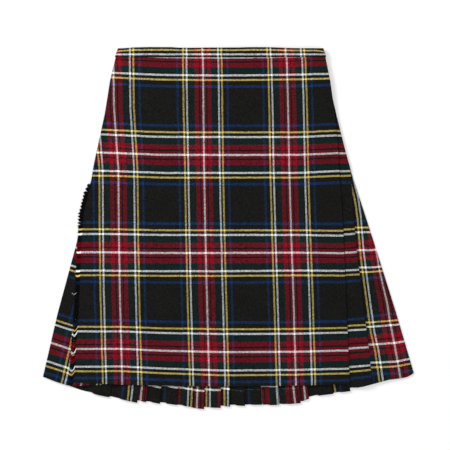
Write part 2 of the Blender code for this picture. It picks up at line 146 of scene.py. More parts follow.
def arc_line_y(down, across):
    """Y of the back's section line that meets the sides at this distance down."""
    at_hem = across / fan_share(down, across)
    from_centre = at_hem - ARC_CENTRE
    on_left = from_centre < 0.0
    half_width = np.where(on_left, HALF_HEM + ARC_CENTRE, HALF_HEM - ARC_CENTRE)
    hem_rise = np.where(on_left, *ARC_HEM_RISE)
    share = np.minimum((from_centre / half_width) ** 2, ARC_SHARE_LIMIT)
    waist = ARC_WAIST_SAG * (1.0 - share) + BAND_EDGE
    hem = ARC_HEM_DOWN - hem_rise * share
    droop = read(HEM_DROOP, at_hem) * (down / HEM_DOWN) ** HEM_ONLY
    return WAIST_Y - (waist + (hem - waist) * down / HEM_DOWN) - droop


def pleat_spacing(index, down):
    first = max(index, 1)
    return fan(PLEAT_HEMS[first], down) - fan(PLEAT_HEMS[first - 1], down)


print("pleats in the back:", len(PLEAT_HEMS))

# %% [markdown]
# ## How high each layer lies
# The front lies on the pleats, and every layer of it lies on the one below. One function gives
# the base height at any place, and each wall asks for the number of layers under it. Because
# all walls use it, they stay parallel and never cut through each other.

# %% Heights of the layers
PLEAT_RISE = (0.5, 1.8, 3.35)
CLIMB_FROM_SIDE = 4.0
CLIMB_PAST_FIRST_PLEAT = 0.85
FRONT_PLEAT_DEPTH = 13.0
FRONT_PLEAT_RAMP = 16.0
BAND_LIFT_END = 60.0
WAIST_LAYER_END = 120.0
WAIST_LAYER_FADE = 60.0


def band_lift(down):
    """Rise of the back's wall over its waistband, which fades out below it."""
    return LAYER * min(max((BAND_LIFT_END - down) / (BAND_LIFT_END - BAND_HEIGHT), 0.0), 1.0)


def front_level(down, across, layers=0.0):
    """Middle height of a front wall with this many layers between it and the back."""
    left_side = -outline("under_left", down) + CLIMB_FROM_SIDE
    left_pleats = fan(PLEAT_HEMS[0], down) - CLIMB_PAST_FIRST_PLEAT * pleat_spacing(0, down)
    right_pleats = fan(PLEAT_HEMS[-1], down)
    right_side = outline("back_right", down) - CLIMB_FROM_SIDE
    from_left = smooth((across - left_side) / (left_pleats - left_side))
    from_right = smooth((right_side - across) / (right_side - right_pleats))
    at_side = SOLID_WALL / 2 + 2 * SIDE_FOLD_RADIUS
    on_pleats = PLEAT_RISE[2] + LAYER
    waist = LAYER * smooth((WAIST_LAYER_END - down) / WAIST_LAYER_FADE)
    climb = (on_pleats - at_side) * np.minimum(from_left, from_right)
    return at_side + climb + waist + LAYER * layers


def pleat_ramp(down, across):
    """Share of the way up onto the front pleat."""
    shoulder = outline("pleat_right", down) - FRONT_PLEAT_DEPTH
    return smooth((across - shoulder + FRONT_PLEAT_RAMP) / FRONT_PLEAT_RAMP)


print("front cloth lies %.1f mm up in the middle" % front_level(300.0, 0.0))

# %% [markdown]
# ## The sett
# A tartan is one stripe chart, the sett, used for the lengthwise threads and again for the
# crosswise threads, and mirrored at each end. Both charts were counted in millimetres from the
# middle of the white line outward. The sett is a little longer down the cloth than
# across it, because the crosswise threads are packed less tightly, and the crosswise red is a
# shade deeper. The crosswise lines on the front sit at slightly uneven distances, so the places
# where the white ones cross the middle are listed, with the thread that each one is.

# %% Stripe charts and the thread coordinates
WARP_REPEAT = 158.4
WEFT_REPEAT = 177.8
YARNS = {
    # linear red, green and blue of the dyed wool
    "black": (0.0092, 0.0092, 0.0086),
    "white": (0.95, 1.00, 0.98),
    "red": (0.285, 0.0045, 0.0150),
    "deep red": (0.242, 0.0045, 0.0150),
    "green": (0.0055, 0.0210, 0.0200),
    "yellow": (0.86, 0.68, 0.170),
    "blue": (0.0060, 0.0340, 0.1250),
}
WARP_CHART = (
    # yarn, from the white middle
    ("white", 0.0), ("red", 1.35), ("black", 5.2), ("red", 7.6), ("green", 15.0), ("black", 25.0),
    ("white", 27.3), ("black", 30.4), ("yellow", 33.5), ("black", 36.6), ("blue", 43.4), ("black", 47.4),
)
WEFT_CHART = (
    # yarn, from the white middle
    ("white", 0.0), ("deep red", 1.6), ("black", 6.3), ("deep red", 9.6), ("green", 18.4), ("black", 28.2),
    ("white", 30.9), ("black", 34.1), ("yellow", 39.3), ("black", 42.7), ("blue", 50.7), ("black", 55.3),
)
WEFT_LINES = (
    # down the middle of the front, crosswise thread there
    (18.4, 0.0), (194.5, 177.8), (371.9, 355.6), (551.5, 533.4), (642.5, 622.6),
)
HEM_WEFT = 599.5
BACK_WEFT_START = 14.6
WEFT_PER_ROW = (HEM_WEFT + BACK_WEFT_START) / HEM_DOWN


def weft_at(down):
    """Crosswise thread, counted from the first white line, that lies this far down."""
    first = WEFT_LINES[0][0]
    return np.where(down < first, down - first, read(WEFT_LINES, down))


def weft_of_row(down):
    """Crosswise thread of a section of the back, whose threads follow the arc of the hem."""
    return down * WEFT_PER_ROW - BACK_WEFT_START


print("repeats down the front: %.2f" % (HEM_WEFT / WEFT_REPEAT))

# %% [markdown]
# ## Points and threads along a section
# A section is a line of points across the garment, and a wall of cloth is a grid of sections.
# Folds are half circles of points, and the thread under each point is counted along the line, as
# a tape measure would. A section can be made of several strips that share their end points. The
# thread count may jump between strips, inside a pleat, where a real pleat swallows more cloth
# than is worth modelling.

# %% Points and threads along a section
def soften(points, times):
    """Cut the corners of a line of points, and keep its two ends."""
    points = np.asarray(points, float)
    for _ in range(times):
        near = 0.75 * points[:-1] + 0.25 * points[1:]
        far = 0.25 * points[:-1] + 0.75 * points[1:]
        near[0] = points[0]
        far[-1] = points[-1]
        points = np.stack([near, far], axis=1).reshape(-1, points.shape[1])
    return points


def half_turn(centre_x, centre_z, radius, from_degrees, to_degrees, steps):
    """Points inside a fold, without its two ends."""
    angles = np.radians(from_degrees + (to_degrees - from_degrees) * np.arange(1, steps) / steps)
    return np.stack([centre_x + radius * np.cos(angles), centre_z + radius * np.sin(angles)], axis=1)


def thread_count(points, place, start):
    """Threads passed along a section, counted from the point at `place`."""
    steps = np.hypot(np.diff(points[:, 0]), np.diff(points[:, 1]))
    along = np.concatenate([[0.0], np.cumsum(steps)])
    return start - (along - along[place])


def strip(x, y, z, warp, weft, outer_warp=None, outer_weft=None):
    """A stretch of one section: its points, and the threads on its inner and outer side."""
    outer_warp = warp if outer_warp is None else outer_warp
    outer_weft = weft if outer_weft is None else outer_weft
    return np.stack([x, y, z, warp, weft, outer_warp, outer_weft], axis=1)


def threads_round_face(points, first, face_warp):
    """Threads along a section whose face, from the point `first` on, has its own."""
    last = first + len(face_warp) - 1
    warp = thread_count(points, first, face_warp[0])
    warp[last + 1:] += face_warp[-1] - warp[last]
    warp[first:last + 1] = face_warp
    return warp


print("points inside a fold of 8 steps:", len(half_turn(0.0, 0.0, 1.0, 90.0, -90.0, 8)))

# %% [markdown]
# ## Building a wall of cloth
# Blender makes a mesh from lists of corners and faces. The grid of sections is given two sides
# by moving it along its normals, so that each side can have its own threads: the inside of a hem
# shows the turned-up allowance, which runs the other way. The threads go into a UV map, counted
# in repeats of the sett, and the material reads its stripes there.

# %% Mesh of a wall
HEM_ALLOWANCE = 27.0
ALLOWANCE_RISE = 0.25
BACK_HEM_ROW = HEM_DOWN - HEM_ALLOWANCE / WEFT_PER_ROW
SHARP_ANGLE = math.radians(55.0)


def mesh_piece(name, vertices, faces, uv):
    mesh = bpy.data.meshes.new(name)
    mesh.from_pydata(vertices.tolist(), [], faces.tolist())
    layer = mesh.uv_layers.new(name="threads")
    repeats = np.asarray(uv, np.float32) / (WARP_REPEAT, WEFT_REPEAT)
    layer.data.foreach_set("uv", repeats.astype(np.float32).ravel())
    mesh.shade_smooth()
    mesh.set_sharp_from_angle(angle=SHARP_ANGLE)
    piece = bpy.data.objects.new(name, mesh)
    bpy.context.scene.collection.objects.link(piece)
    return piece


def grid_normals(points):
    normals = np.cross(np.gradient(points, axis=0), np.gradient(points, axis=1))
    return normals / np.linalg.norm(normals, axis=2, keepdims=True)


def grid_area(points):
    across = points[:-1, 1:] - points[:-1, :-1]
    down = points[1:, :-1] - points[:-1, :-1]
    return float(np.linalg.norm(np.cross(across, down), axis=2).sum())


def wall_faces(rows, columns):
    """Faces of the outer side, of the inner side, and of the four edges between them."""
    away = rows * columns
    index = np.arange(away).reshape(rows, columns)
    a, b, c, d = index[:-1, :-1], index[:-1, 1:], index[1:, 1:], index[1:, :-1]
    outer = np.stack([a, b, c, d], axis=2).reshape(-1, 4)
    inner = np.stack([a, d, c, b], axis=2).reshape(-1, 4) + away
    edges = ((b[0], a[0]), (d[-1], c[-1]), (a[:, 0], d[:, 0]), (c[:, -1], b[:, -1]))
    rims = [np.stack([one, two, two + away, one + away], axis=1) for one, two in edges]
    return np.concatenate([outer, inner] + rims)


def wall_threads(strips, hem_rows):
    """Threads at the corners of every face, in the order of wall_faces."""
    left = np.concatenate([s[:, :-1, 3:] for s in strips], axis=1)
    right = np.concatenate([s[:, 1:, 3:] for s in strips], axis=1)
    corners = [left[:-1], right[:-1], right[1:], left[1:]]
    outer = np.stack([corner[:, :, 2:] for corner in corners], axis=2)
    inner = np.stack([corners[k][:, :, :2] for k in (0, 3, 2, 1)], axis=2)
    if hem_rows is not None:
        turned = hem_rows[:-1]
        inner[turned, :, :, 1] = 2 * HEM_WEFT - inner[turned, :, :, 1]
    rims = [outer[0][:, (1, 0, 0, 1)], outer[-1][:, (3, 2, 2, 3)],
            outer[:, 0][:, (0, 3, 3, 0)], outer[:, -1][:, (2, 1, 1, 2)]]
    return np.concatenate([outer.reshape(-1, 4, 2), inner.reshape(-1, 4, 2)] + rims).reshape(-1, 2)


print("hem allowance of the back begins %.0f mm down" % BACK_HEM_ROW)

# %% A wall of cloth from sections
HEM_ROW_STEP = 0.15
HEM_ROW_CLEAR = 1.5


def cloth_wall(name, sections, hem_rows=None):
    """Wall of cloth through sections that are lists of strips."""
    strips = [np.stack([section[k] for section in sections]) for k in range(len(sections[0]))]
    middle = np.concatenate([strips[0]] + [s[:, 1:] for s in strips[1:]], axis=1)[:, :, :3]
    normals = grid_normals(middle)
    inner_half = np.full((len(middle), 1, 1), CLOTH / 2)
    if hem_rows is not None:
        inner_half[hem_rows] += ALLOWANCE_RISE
    sides = [middle - normals * CLOTH / 2, middle + normals * inner_half]
    vertices = np.concatenate([side.reshape(-1, 3) for side in sides]) * MM
    piece = mesh_piece(name, vertices, wall_faces(*middle.shape[:2]), wall_threads(strips, hem_rows))
    piece["cloth_area"] = grid_area(middle) * MM * MM
    print("%s: %d faces, %.3f m2 of cloth" % (name, len(piece.data.polygons), piece["cloth_area"]))
    return piece


def rows_down(first, last, step, hem=None):
    """Distances down for the sections, with a close pair where the hem allowance ends."""
    rows = np.linspace(first, last, int(round((last - first) / step)) + 1)
    if hem is None:
        return rows
    rows = rows[np.abs(rows - hem) > HEM_ROW_CLEAR]
    return np.sort(np.concatenate([rows, [hem - HEM_ROW_STEP, hem + HEM_ROW_STEP]]))


print("sections down the front, 8 mm apart:", len(rows_down(0.0, HEM_DOWN, 8.0)))

# %% [markdown]
# ## The over apron
# This is the flat front panel that everyone looks at. Its right edge is folded back into the
# deep pleat, its left edge is cut along the threads and fringed, and it turns a little way
# round the side above the hip. Wool laid on a table is never quite flat, so soft troughs and
# ridges run down it, placed one by one where the light shows them.

# %% Places and heights of the over apron
APRON_RAMP_LAYERS = 2.4
DEEP_PLEAT_DEPTH = 62.0
DEEP_PLEAT_RAMP = 24.0
DEEP_SEAM = 9.0
FRINGED_EDGE = (
    # down, how far the cloth runs on round the side
    (0.0, 5.2), (60.0, 5.0), (120.0, 3.8), (180.0, 3.4), (240.0, 0.3), (300.0, 0.2),
    (360.0, -11.0), (430.0, -26.0), (480.0, -37.0), (592.0, -54.5), (614.0, -57.0),
)
SIDE_TURN = math.radians(135.0)
APRON_FULLNESS = 2.4
FULLNESS_FROM = 60.0
FULLNESS_TO = 640.0
FULLNESS_FADE = 120.0
FULLNESS_INSIDE = ((30.0, 90.0), (20.0, 60.0))  # margin and fade, left and right
APRON_TROUGHS = (
    # across, half_width, depth
    (-88.0, 26.0, 1.6), (28.0, 22.0, 2.2), (128.0, 30.0, 1.2),
)
APRON_CREASES = (
    # across, down, leaning from upright in degrees, half_length, half_width, height
    (-186.0, 34.0, 38.0, 26.0, 5.0, 1.00),
    (-168.0, 40.0, -24.0, 30.0, 6.0, -0.30),
    (-132.0, 27.0, 74.0, 24.0, 3.4, 0.85),
    (-104.0, 31.0, 62.0, 20.0, 3.2, 0.70),
    (-60.0, 46.0, 8.0, 34.0, 7.0, 0.70),
    (-36.0, 34.0, 40.0, 14.0, 3.4, 0.60),
    (64.0, 38.0, -14.0, 28.0, 6.0, 0.80),
    (112.0, 30.0, -60.0, 20.0, 3.6, 0.60),
    (150.0, 92.0, 62.0, 46.0, 7.0, 0.70),
    (160.0, 74.0, 70.0, 30.0, 4.0, 0.60),
    (168.0, 40.0, -34.0, 24.0, 5.0, 0.80),
    (-238.0, 268.0, 13.0, 50.0, 5.0, 1.70),
    (-226.0, 256.0, 15.0, 60.0, 8.0, -0.70),
    (-150.0, 330.0, 3.0, 90.0, 14.0, 0.70),
    (86.0, 300.0, -3.0, 110.0, 16.0, 0.70),
    (-20.0, 470.0, 4.0, 90.0, 15.0, 0.60),
    (-190.0, 520.0, -12.0, 60.0, 12.0, 0.80),
    (160.0, 520.0, 6.0, 70.0, 10.0, 0.55),
    (196.0, 330.0, 1.5, 160.0, 2.4, -0.35),
)
CREASES_FROM = 18.0
CREASES_FADE = 14.0
CREASES_INSIDE = ((4.0, 10.0), (6.0, 14.0))  # margin and fade, left and right
RIPPLE = 0.10
RIPPLE_LENGTHS = ((9.0, 41.0), (60.0, 23.0))  # across and down, for each of its two waves
APRON_SAG = 4.0
APRON_SAG_LIMIT = 1.3
APRON_CORNER = 5.0
APRON_CORNER_WIDTH = 8.0
print("troughs and creases of the over apron:", len(APRON_TROUGHS) + len(APRON_CREASES))

# %% Heights of the over apron
def inside_apron(down, across, margins):
    """Share that is 1 within the over apron and fades out before its left and right edges."""
    (left, left_fade), (right, right_fade) = margins
    from_left = smooth((across + outline("apron_left", down) - left) / left_fade)
    return from_left * smooth((outline("apron_right", down) - right - across) / right_fade)


def apron_fullness(down, across):
    window = smooth((down - FULLNESS_FROM) / FULLNESS_FADE) * smooth((FULLNESS_TO - down) / FULLNESS_FADE)
    height = APRON_FULLNESS
    for place, half_width, depth in APRON_TROUGHS:
        height = height - depth * np.exp(-((across - place) / half_width) ** 2)
    return height * window * inside_apron(down, across, FULLNESS_INSIDE)


def apron_creases(down, across):
    """Soft ridges and troughs, each a long narrow mound that leans its own way."""
    waves = [np.sin(across / wide + down / high) for wide, high in RIPPLE_LENGTHS]
    height = RIPPLE * waves[0] * waves[1]
    for place, middle, lean, half_length, half_width, rise in APRON_CREASES:
        turn = math.radians(lean)
        along = (down - middle) * math.cos(turn) + (across - place) * math.sin(turn)
        beside = (across - place) * math.cos(turn) - (down - middle) * math.sin(turn)
        height += rise * np.exp(-(along / half_length) ** 2 - (beside / half_width) ** 2)
    below_band = smooth((down - CREASES_FROM) / CREASES_FADE)
    return height * inside_apron(down, across, CREASES_INSIDE) * below_band


def apron_top_z(down, across):
    deep_fold = outline("apron_right", down) - DEEP_PLEAT_DEPTH
    on_deep_pleat = smooth((across - deep_fold + DEEP_PLEAT_RAMP) / DEEP_PLEAT_RAMP)
    layers = 1.0 + on_deep_pleat + APRON_RAMP_LAYERS * pleat_ramp(down, across)
    return front_level(down, across, layers) + apron_fullness(down, across)


def apron_line_y(down, across):
    edge = outline("apron_right", down)
    beside = np.minimum(np.abs(across / edge), APRON_SAG_LIMIT)
    sag = APRON_SAG * (down / HEM_DOWN) * (1.0 - beside ** 2)
    at_corner = smooth((across - edge + APRON_CORNER_WIDTH) / APRON_CORNER_WIDTH)
    return WAIST_Y - down - sag - APRON_CORNER * (down / HEM_DOWN) ** HEM_ONLY * at_corner


def apron_side(down):
    """Where the over apron leaves the top near its left side, and the radius that it turns on."""
    side_x = -outline("apron_left", down)
    top_z = apron_top_z(down, side_x)
    radius = (top_z - SOLID_WALL / 2) / 2
    return side_x + SOLID_WALL / 2 + radius, top_z, radius


def apron_side_point(down, past):
    turn_x, top_z, radius = apron_side(down)
    if past < 0.0:
        return turn_x - past, apron_top_z(down, turn_x - past)
    angle = math.pi / 2 + past / radius
    return turn_x + radius * math.cos(angle), top_z - radius + radius * math.sin(angle)


print("over apron lies %.1f to %.1f mm up" % (apron_top_z(300.0, 0.0), apron_top_z(300.0, 200.0)))

# %% [markdown]
# ## Threads of the over apron
# The stripes on the real apron are not a perfect grid: the cloth was pulled a little when it
# was pleated, so the lines lean, and they rise towards both sides. Three upright white lines
# and the bend of the crosswise lines are given in two short tables, and the thread at any
# point is read between them.

# %% Threads at a place on the front
WHITE_WARP_LINES = (
    # down, left, middle, right
    (0.0, -208.6, -46.2, 105.0),
    (110.0, -207.0, -45.2, 108.2),
    (220.0, -199.2, -43.9, 110.1),
    (330.0, -198.2, -41.8, 113.4),
    (440.0, -196.6, -39.1, 117.4),
    (600.0, -192.2, -34.6, 122.2),
)
BEND_PLACES = (-232.0, -196.0, -124.0, 0.0, 130.0, 202.0)
WEFT_BEND = (
    # down, rise of the crosswise lines at each of the places
    (30.0, 5.8, 4.5, 1.1, 0.0, 1.8, 3.6),
    (165.0, 5.0, 3.6, 0.3, 0.0, 0.0, 3.4),
    (225.0, 3.8, 3.1, 0.0, 0.0, 0.2, 3.8),
    (340.0, 1.8, 1.4, 0.0, 0.0, 0.0, -1.4),
    (400.0, 0.8, 0.5, 0.0, 0.0, 1.2, 0.6),
    (515.0, 4.7, 5.0, 1.8, 0.0, 0.5, 2.6),
    (585.0, 7.4, 8.2, 4.0, 0.0, 1.5, 3.4),
)
BEND_ROUNDING = 14.0


def apron_warp(down, across):
    """Lengthwise thread at a place, counted from the middle white line."""
    left, middle, right = read_row(WHITE_WARP_LINES, down)
    on_left = (across - middle) / (middle - left)
    on_right = (across - middle) / (right - middle)
    return np.where(across < middle, on_left, on_right) * WARP_REPEAT


def apron_bend(down, across):
    rises = read_row(WEFT_BEND, down)
    offsets = (-BEND_ROUNDING, 0.0, BEND_ROUNDING)
    return sum(np.interp(across + shift, BEND_PLACES, rises) for shift in offsets) / 3


def apron_weft(y, across):
    down = WAIST_Y - y
    bend = np.array([apron_bend(d, x) for d, x in zip(down, across)])
    return weft_at(down + bend)


print("crosswise lines rise %.1f mm at the left of the hem" % apron_bend(HEM_DOWN, -196.0))

# %% [markdown]
# ## The over apron's sections
# One section runs from the seam inside the deep pleat to the right fold, round it, across the
# face and a little way round the left side. It has more points where the cloth bends.

# %% Sections of the over apron
FOLD_STEPS = 8
SIDE_STEPS = 8
SIDE_STEP_LEAST = 0.25
SIDE_MARGIN = 4.0
RAMP_POINTS = 36
FACE_POINTS = 92
RETURN_POINTS = 14


def apron_face_x(down):
    """Places across the face, from its right fold to just before it leaves the top."""
    fold_x = outline("apron_right", down) - SOLID_WALL / 2 - FOLD_RADIUS
    ramp_x = outline("apron_right", down) - DEEP_PLEAT_DEPTH - DEEP_PLEAT_RAMP
    turn_x, _, _ = apron_side(down)
    end_x = max(turn_x, turn_x - float(read(FRINGED_EDGE, down))) + SIDE_MARGIN
    return np.concatenate([np.linspace(fold_x, ramp_x, RAMP_POINTS),
                           np.linspace(ramp_x, end_x, FACE_POINTS)[1:]])


def deep_fold_x(down):
    """Axis of the fold inside the deep pleat."""
    return outline("apron_right", down) - DEEP_PLEAT_DEPTH + SOLID_WALL / 2 + FOLD_RADIUS


def apron_section(down):
    """From the seam inside the deep pleat, round the right fold, to the fringed edge."""
    face_x = apron_face_x(down)
    face = np.stack([face_x, apron_top_z(down, face_x) + apron_creases(down, face_x)], axis=1)
    back_x = np.linspace(deep_fold_x(down) + DEEP_SEAM + SEAM_GAP, face_x[0], RETURN_POINTS)
    back_z = front_level(down, back_x, 1.0 + APRON_RAMP_LAYERS * pleat_ramp(down, back_x))
    low, top = back_z[-1], face[0, 1]
    turn = half_turn(face_x[0], (top + low) / 2, (top - low) / 2, -90.0, 90.0, FOLD_STEPS)
    _, _, radius = apron_side(down)
    steps = np.arange(SIDE_STEPS + 1)
    past_side = float(read(FRINGED_EDGE, down)) - SIDE_STEP_LEAST * (SIDE_STEPS - steps)
    lengths = np.minimum(SIDE_TURN * radius * steps / SIDE_STEPS, past_side)
    side = np.array([apron_side_point(down, length) for length in lengths])
    points = np.concatenate([np.stack([back_x, back_z], axis=1), turn, face, side])
    x = points[:, 0]
    y = apron_line_y(down, x)
    warp = threads_round_face(points, len(back_x) + len(turn), apron_warp(down, face_x))
    return [strip(x, y, points[:, 1], warp, apron_weft(y, x))]


over_apron = cloth_wall("over_apron_cloth", [apron_section(down) for down in
                                             rows_down(BAND_EDGE, APRON_HEM, 6.0)])

# %% [markdown]
# ## The knife pleats of the back
# A knife pleat is a flat Z of cloth: up over the fold of its neighbour, back inside, and out
# again. Face down on the table only the inner folds show, as an uneven row below the apron's
# hem, and each strip between two folds shows whatever stripe happened to be folded in there.
# The outer side is what people see from behind, and there the stripes were matched from pleat
# to pleat, which a kilt maker calls pleating to the sett.

# %% Knife pleats
PLEAT_DEPTH_SHARE = 0.62
PLEAT_RAMP_SHARE = 0.30
PLEAT_RAMP_LIMITS = (3.2, 9.0)
HEM_STEPS = (
    # rise of each strip's hem at its left end, and at its inner fold on the right
    (1.8, -3.0), (-1.6, -4.6), (0.2, -1.2), (0.8, -1.2), (1.8, -1.0), (-0.4, -3.4), (-5.2, -6.6),
    (-3.2, -4.8), (-0.9, -3.0), (0.2, -3.0), (-0.9, -3.0), (-3.6, -6.6), (-6.2, -8.2), (-5.2, -3.0),
    (1.8, -1.5), (0.0, -3.0), (3.6, 1.5), (5.8, 3.0),
)
FOLD_FOOT = (1.45, 2.15)  # how far before the outer fold, and how high, its curve begins
FOLD_CREST = 0.3  # how far past it the curve reaches the top
# how much higher the crosswise stripes lie on the inner side of each strip
INNER_WEFT_SHIFT = (0.0, 0.0, 0.0, -4.0, -1.8, -1.8, -1.8, -1.8, -1.8, 12.5, 12.5, 0.0, 12.5, 12.5,
                    12.5, 12.5, 12.5, 12.5)
FIRST_PLEAT_SEAM = 4.0
LAST_PLEAT_SEAM = 1.5
# lengthwise thread at each inner fold, from the nearest white line
FOLD_THREADS = (108.6, -17.7, 10.1, -60.6, 68.8, 37.8, 13.0, -9.6, -25.3, -72.8, 68.2, 31.5, 10.1,
                6.3, -64.1, 62.1, 40.9, 10.0)
LOW, MIDDLE, HIGH = PLEAT_RISE
INSIDE_FOLD_STEPS = 6
LOWER_RADIUS = (MIDDLE - LOW) / 2
UPPER_RADIUS = (HIGH - MIDDLE) / 2
depths = [PLEAT_DEPTH_SHARE * float(pleat_spacing(index, HEM_DOWN)) for index in range(LAST_PLEAT + 1)]
print("knife pleats are %.0f to %.0f mm deep at the hem" % (min(depths), max(depths)))

# %% [markdown]
# ## One knife pleat
# Each pleat is two strips of a section. One rises over the pleat's outer fold and ends at its
# inner fold, and its few corners are cut twice to make the fold soft. The other turns back
# inside and comes out to the surface again. Each strip's hem is stepped a little, as on cloth
# that was folded by hand.

# %% One knife pleat
def outer_fold_x(index, down):
    """Axis of the pleat's outer fold."""
    inner_fold = fan(PLEAT_HEMS[index], down)
    return inner_fold - PLEAT_DEPTH_SHARE * pleat_spacing(index, down) + SOLID_WALL / 2 + LOWER_RADIUS


def inner_fold_x(index, down):
    return fan(PLEAT_HEMS[index], down) - SOLID_WALL / 2 - UPPER_RADIUS


def hem_steps(index, down):
    fade = (down / HEM_DOWN) ** 4
    return HEM_STEPS[index][0] * fade, HEM_STEPS[index][1] * fade


def on_back(points, down, inner, outer, inner_shift=0.0):
    """A strip of the back through points of across, height and step."""
    points = np.asarray(points, float)
    x = points[:, 0]
    weft = np.full(len(x), weft_of_row(down))
    y = arc_line_y(down, x) + points[:, 2]
    inner_weft = weft + inner_shift if down < BACK_HEM_ROW else weft
    return strip(x, y, points[:, 1] + band_lift(down), inner, inner_weft, outer, weft)


def back_threads(index, x, down):
    """Threads on the inner side of the strip before an inner fold, and on its outer side."""
    inner = FOLD_THREADS[index] + x - fan(PLEAT_HEMS[index], down)
    shown = max(index - 1, 0)
    matched = fan(PLEAT_HEMS[shown], HEM_DOWN) - PLEAT_DEPTH_SHARE * pleat_spacing(shown, HEM_DOWN)
    return inner, matched + x - outer_fold_x(shown, down)


def rising_strip(index, down, start, end=None):
    """From a place on the surface over the pleat's outer fold to its inner fold."""
    outer_x = outer_fold_x(index, down)
    spacing = pleat_spacing(index, down)
    ramp = min(max(PLEAT_RAMP_SHARE * spacing, PLEAT_RAMP_LIMITS[0]), PLEAT_RAMP_LIMITS[1])
    end = inner_fold_x(index, down) if end is None else end
    left, right = hem_steps(index, down)
    foot_x, foot_rise = FOLD_FOOT
    points = soften([(start, LOW, 0.0), (outer_x - ramp, LOW, left),
                     (outer_x - foot_x, LOW + foot_rise, left),
                     (outer_x + FOLD_CREST, HIGH, 0.5 * (left + right)), (end, HIGH, right)], 2)
    return on_back(points, down, *back_threads(index, points[:, 0], down), INNER_WEFT_SHIFT[index])


def folded_strip(index, down, start=None):
    """Round the inner fold, back inside the pleat, and round the outer fold to the surface."""
    inner_x = inner_fold_x(index, down)
    outer_x = outer_fold_x(index, down)
    _, right = hem_steps(index, down)
    start = inner_x if start is None else start
    upper = half_turn(inner_x, MIDDLE + UPPER_RADIUS, UPPER_RADIUS, 90.0, -90.0,
                      INSIDE_FOLD_STEPS)
    lower = half_turn(outer_x, LOW + LOWER_RADIUS, LOWER_RADIUS, 90.0, 270.0, INSIDE_FOLD_STEPS)
    line = np.concatenate([[(start, HIGH)], upper, [(inner_x, MIDDLE), (outer_x, MIDDLE)], lower,
                           [(outer_x, LOW)]])
    steps = np.where(np.arange(len(line)) < len(upper) + 2, right, 0.0)
    points = np.column_stack([line, steps])
    inner, _ = back_threads(index, start, down)
    _, outer = back_threads(min(index + 1, LAST_PLEAT), outer_x, down)
    along = inner - thread_count(line, 0, 0.0)
    return on_back(points, down, along, outer + thread_count(line, len(line) - 1, 0.0),
                   INNER_WEFT_SHIFT[index])


print("one pleat takes %d points" % (len(rising_strip(1, HEM_DOWN, outer_fold_x(0, HEM_DOWN)))
                                     + len(folded_strip(1, HEM_DOWN))))

# %% [markdown]
# ## The whole back
# One section holds the strips of all the pleats, from the seam with the under apron to the seam
# with the right side. The rows below the hem row show the turned-up allowance inside.

# %% The whole back
def first_seam_x(down):
    return inner_fold_x(0, down) - FIRST_PLEAT_SEAM


def last_seam_x(down):
    return inner_fold_x(LAST_PLEAT, down) - LAST_PLEAT_SEAM


def pleated_back_section(down):
    _, right = hem_steps(0, down)
    seam_x = np.array([first_seam_x(down), inner_fold_x(0, down)])
    seam = on_back([(x, HIGH, right) for x in seam_x], down, *back_threads(0, seam_x, down))
    strips = [seam, folded_strip(0, down)]
    for index in range(1, LAST_PLEAT):
        strips += [rising_strip(index, down, outer_fold_x(index - 1, down)), folded_strip(index, down)]
    strips.append(rising_strip(LAST_PLEAT, down, outer_fold_x(LAST_PLEAT - 1, down), last_seam_x(down)))
    return strips


back_rows = rows_down(0.0, HEM_DOWN, 9.0, BACK_HEM_ROW)
pleated_back = cloth_wall("pleated_back_cloth", [pleated_back_section(down) for down in back_rows],
                          back_rows > BACK_HEM_ROW)

# %% [markdown]
# ## The under apron and the left side
# The under apron lies between the over apron and the pleats. Only its left edge shows, beside
# the fringe, where it turns round the side and becomes the first strip of the back. Its threads
# lean with the side, so the crosswise lines climb towards it.

# %% Under apron
UNDER_WAIST_SAG = 9.0
UNDER_HEM_DOWN = 611.0
UNDER_TURN_WIDTH = 90.0
UNDER_EDGE_GAP = 4.0
UNDER_WHITE_LINE = 69.0
UNDER_RISE = (
    # down, rise of the crosswise lines
    (0.0, -4.0), (395.0, -4.4), (500.0, 0.3), (600.0, -0.2),
)
UNDER_LEAN = 0.33  # further rise for each mm towards the side
UNDER_LEAN_FROM = 0.84  # share of the way to the side where it begins
UNDER_FINE_WIDTH = 130.0
UNDER_POINTS = (22, 40)
SIDE_FOLD_STEPS = 10


def under_line_y(down, across):
    share = smooth((across + outline("under_left", down)) / UNDER_TURN_WIDTH)
    straight = WAIST_Y - UNDER_WAIST_SAG - down * (UNDER_HEM_DOWN - UNDER_WAIST_SAG) / HEM_DOWN
    return arc_line_y(down, across) * (1.0 - share) + straight * share


def under_apron_section(down):
    free_edge = outline("apron_right", down) - DEEP_PLEAT_DEPTH - UNDER_EDGE_GAP
    side_x = -outline("under_left", down)
    low = SOLID_WALL / 2 + band_lift(down)
    side_radius = (float(front_level(down, side_x)) - low) / 2
    centre_x = side_x + SOLID_WALL / 2 + side_radius
    fine_x = centre_x + UNDER_FINE_WIDTH
    front_x = np.concatenate([np.linspace(free_edge, fine_x, UNDER_POINTS[0]),
                              np.linspace(fine_x, centre_x, UNDER_POINTS[1])[1:]])
    front = np.stack([front_x, front_level(down, front_x)], axis=1)
    turn = half_turn(centre_x, low + side_radius, side_radius, 90.0, 270.0, SIDE_FOLD_STEPS)
    points = np.concatenate([front, turn, [(centre_x, low)]])
    x = points[:, 0]
    y = under_line_y(down, x)
    warp = thread_count(points, len(front) - 1, centre_x - side_x - UNDER_WHITE_LINE)
    beyond = np.maximum(-UNDER_LEAN_FROM * outline("under_left", down) - x, 0.0)
    rise = float(read(UNDER_RISE, down)) + UNDER_LEAN * beyond
    side = strip(x, y, points[:, 1], warp, weft_at(WAIST_Y - y + rise))
    back = rising_strip(0, down, centre_x, first_seam_x(down) - SEAM_GAP)
    if down > BACK_HEM_ROW:
        back[:, 4] = 2 * HEM_WEFT - back[:, 4]
    side[-1, :3] = back[0, :3]
    return [side, back]


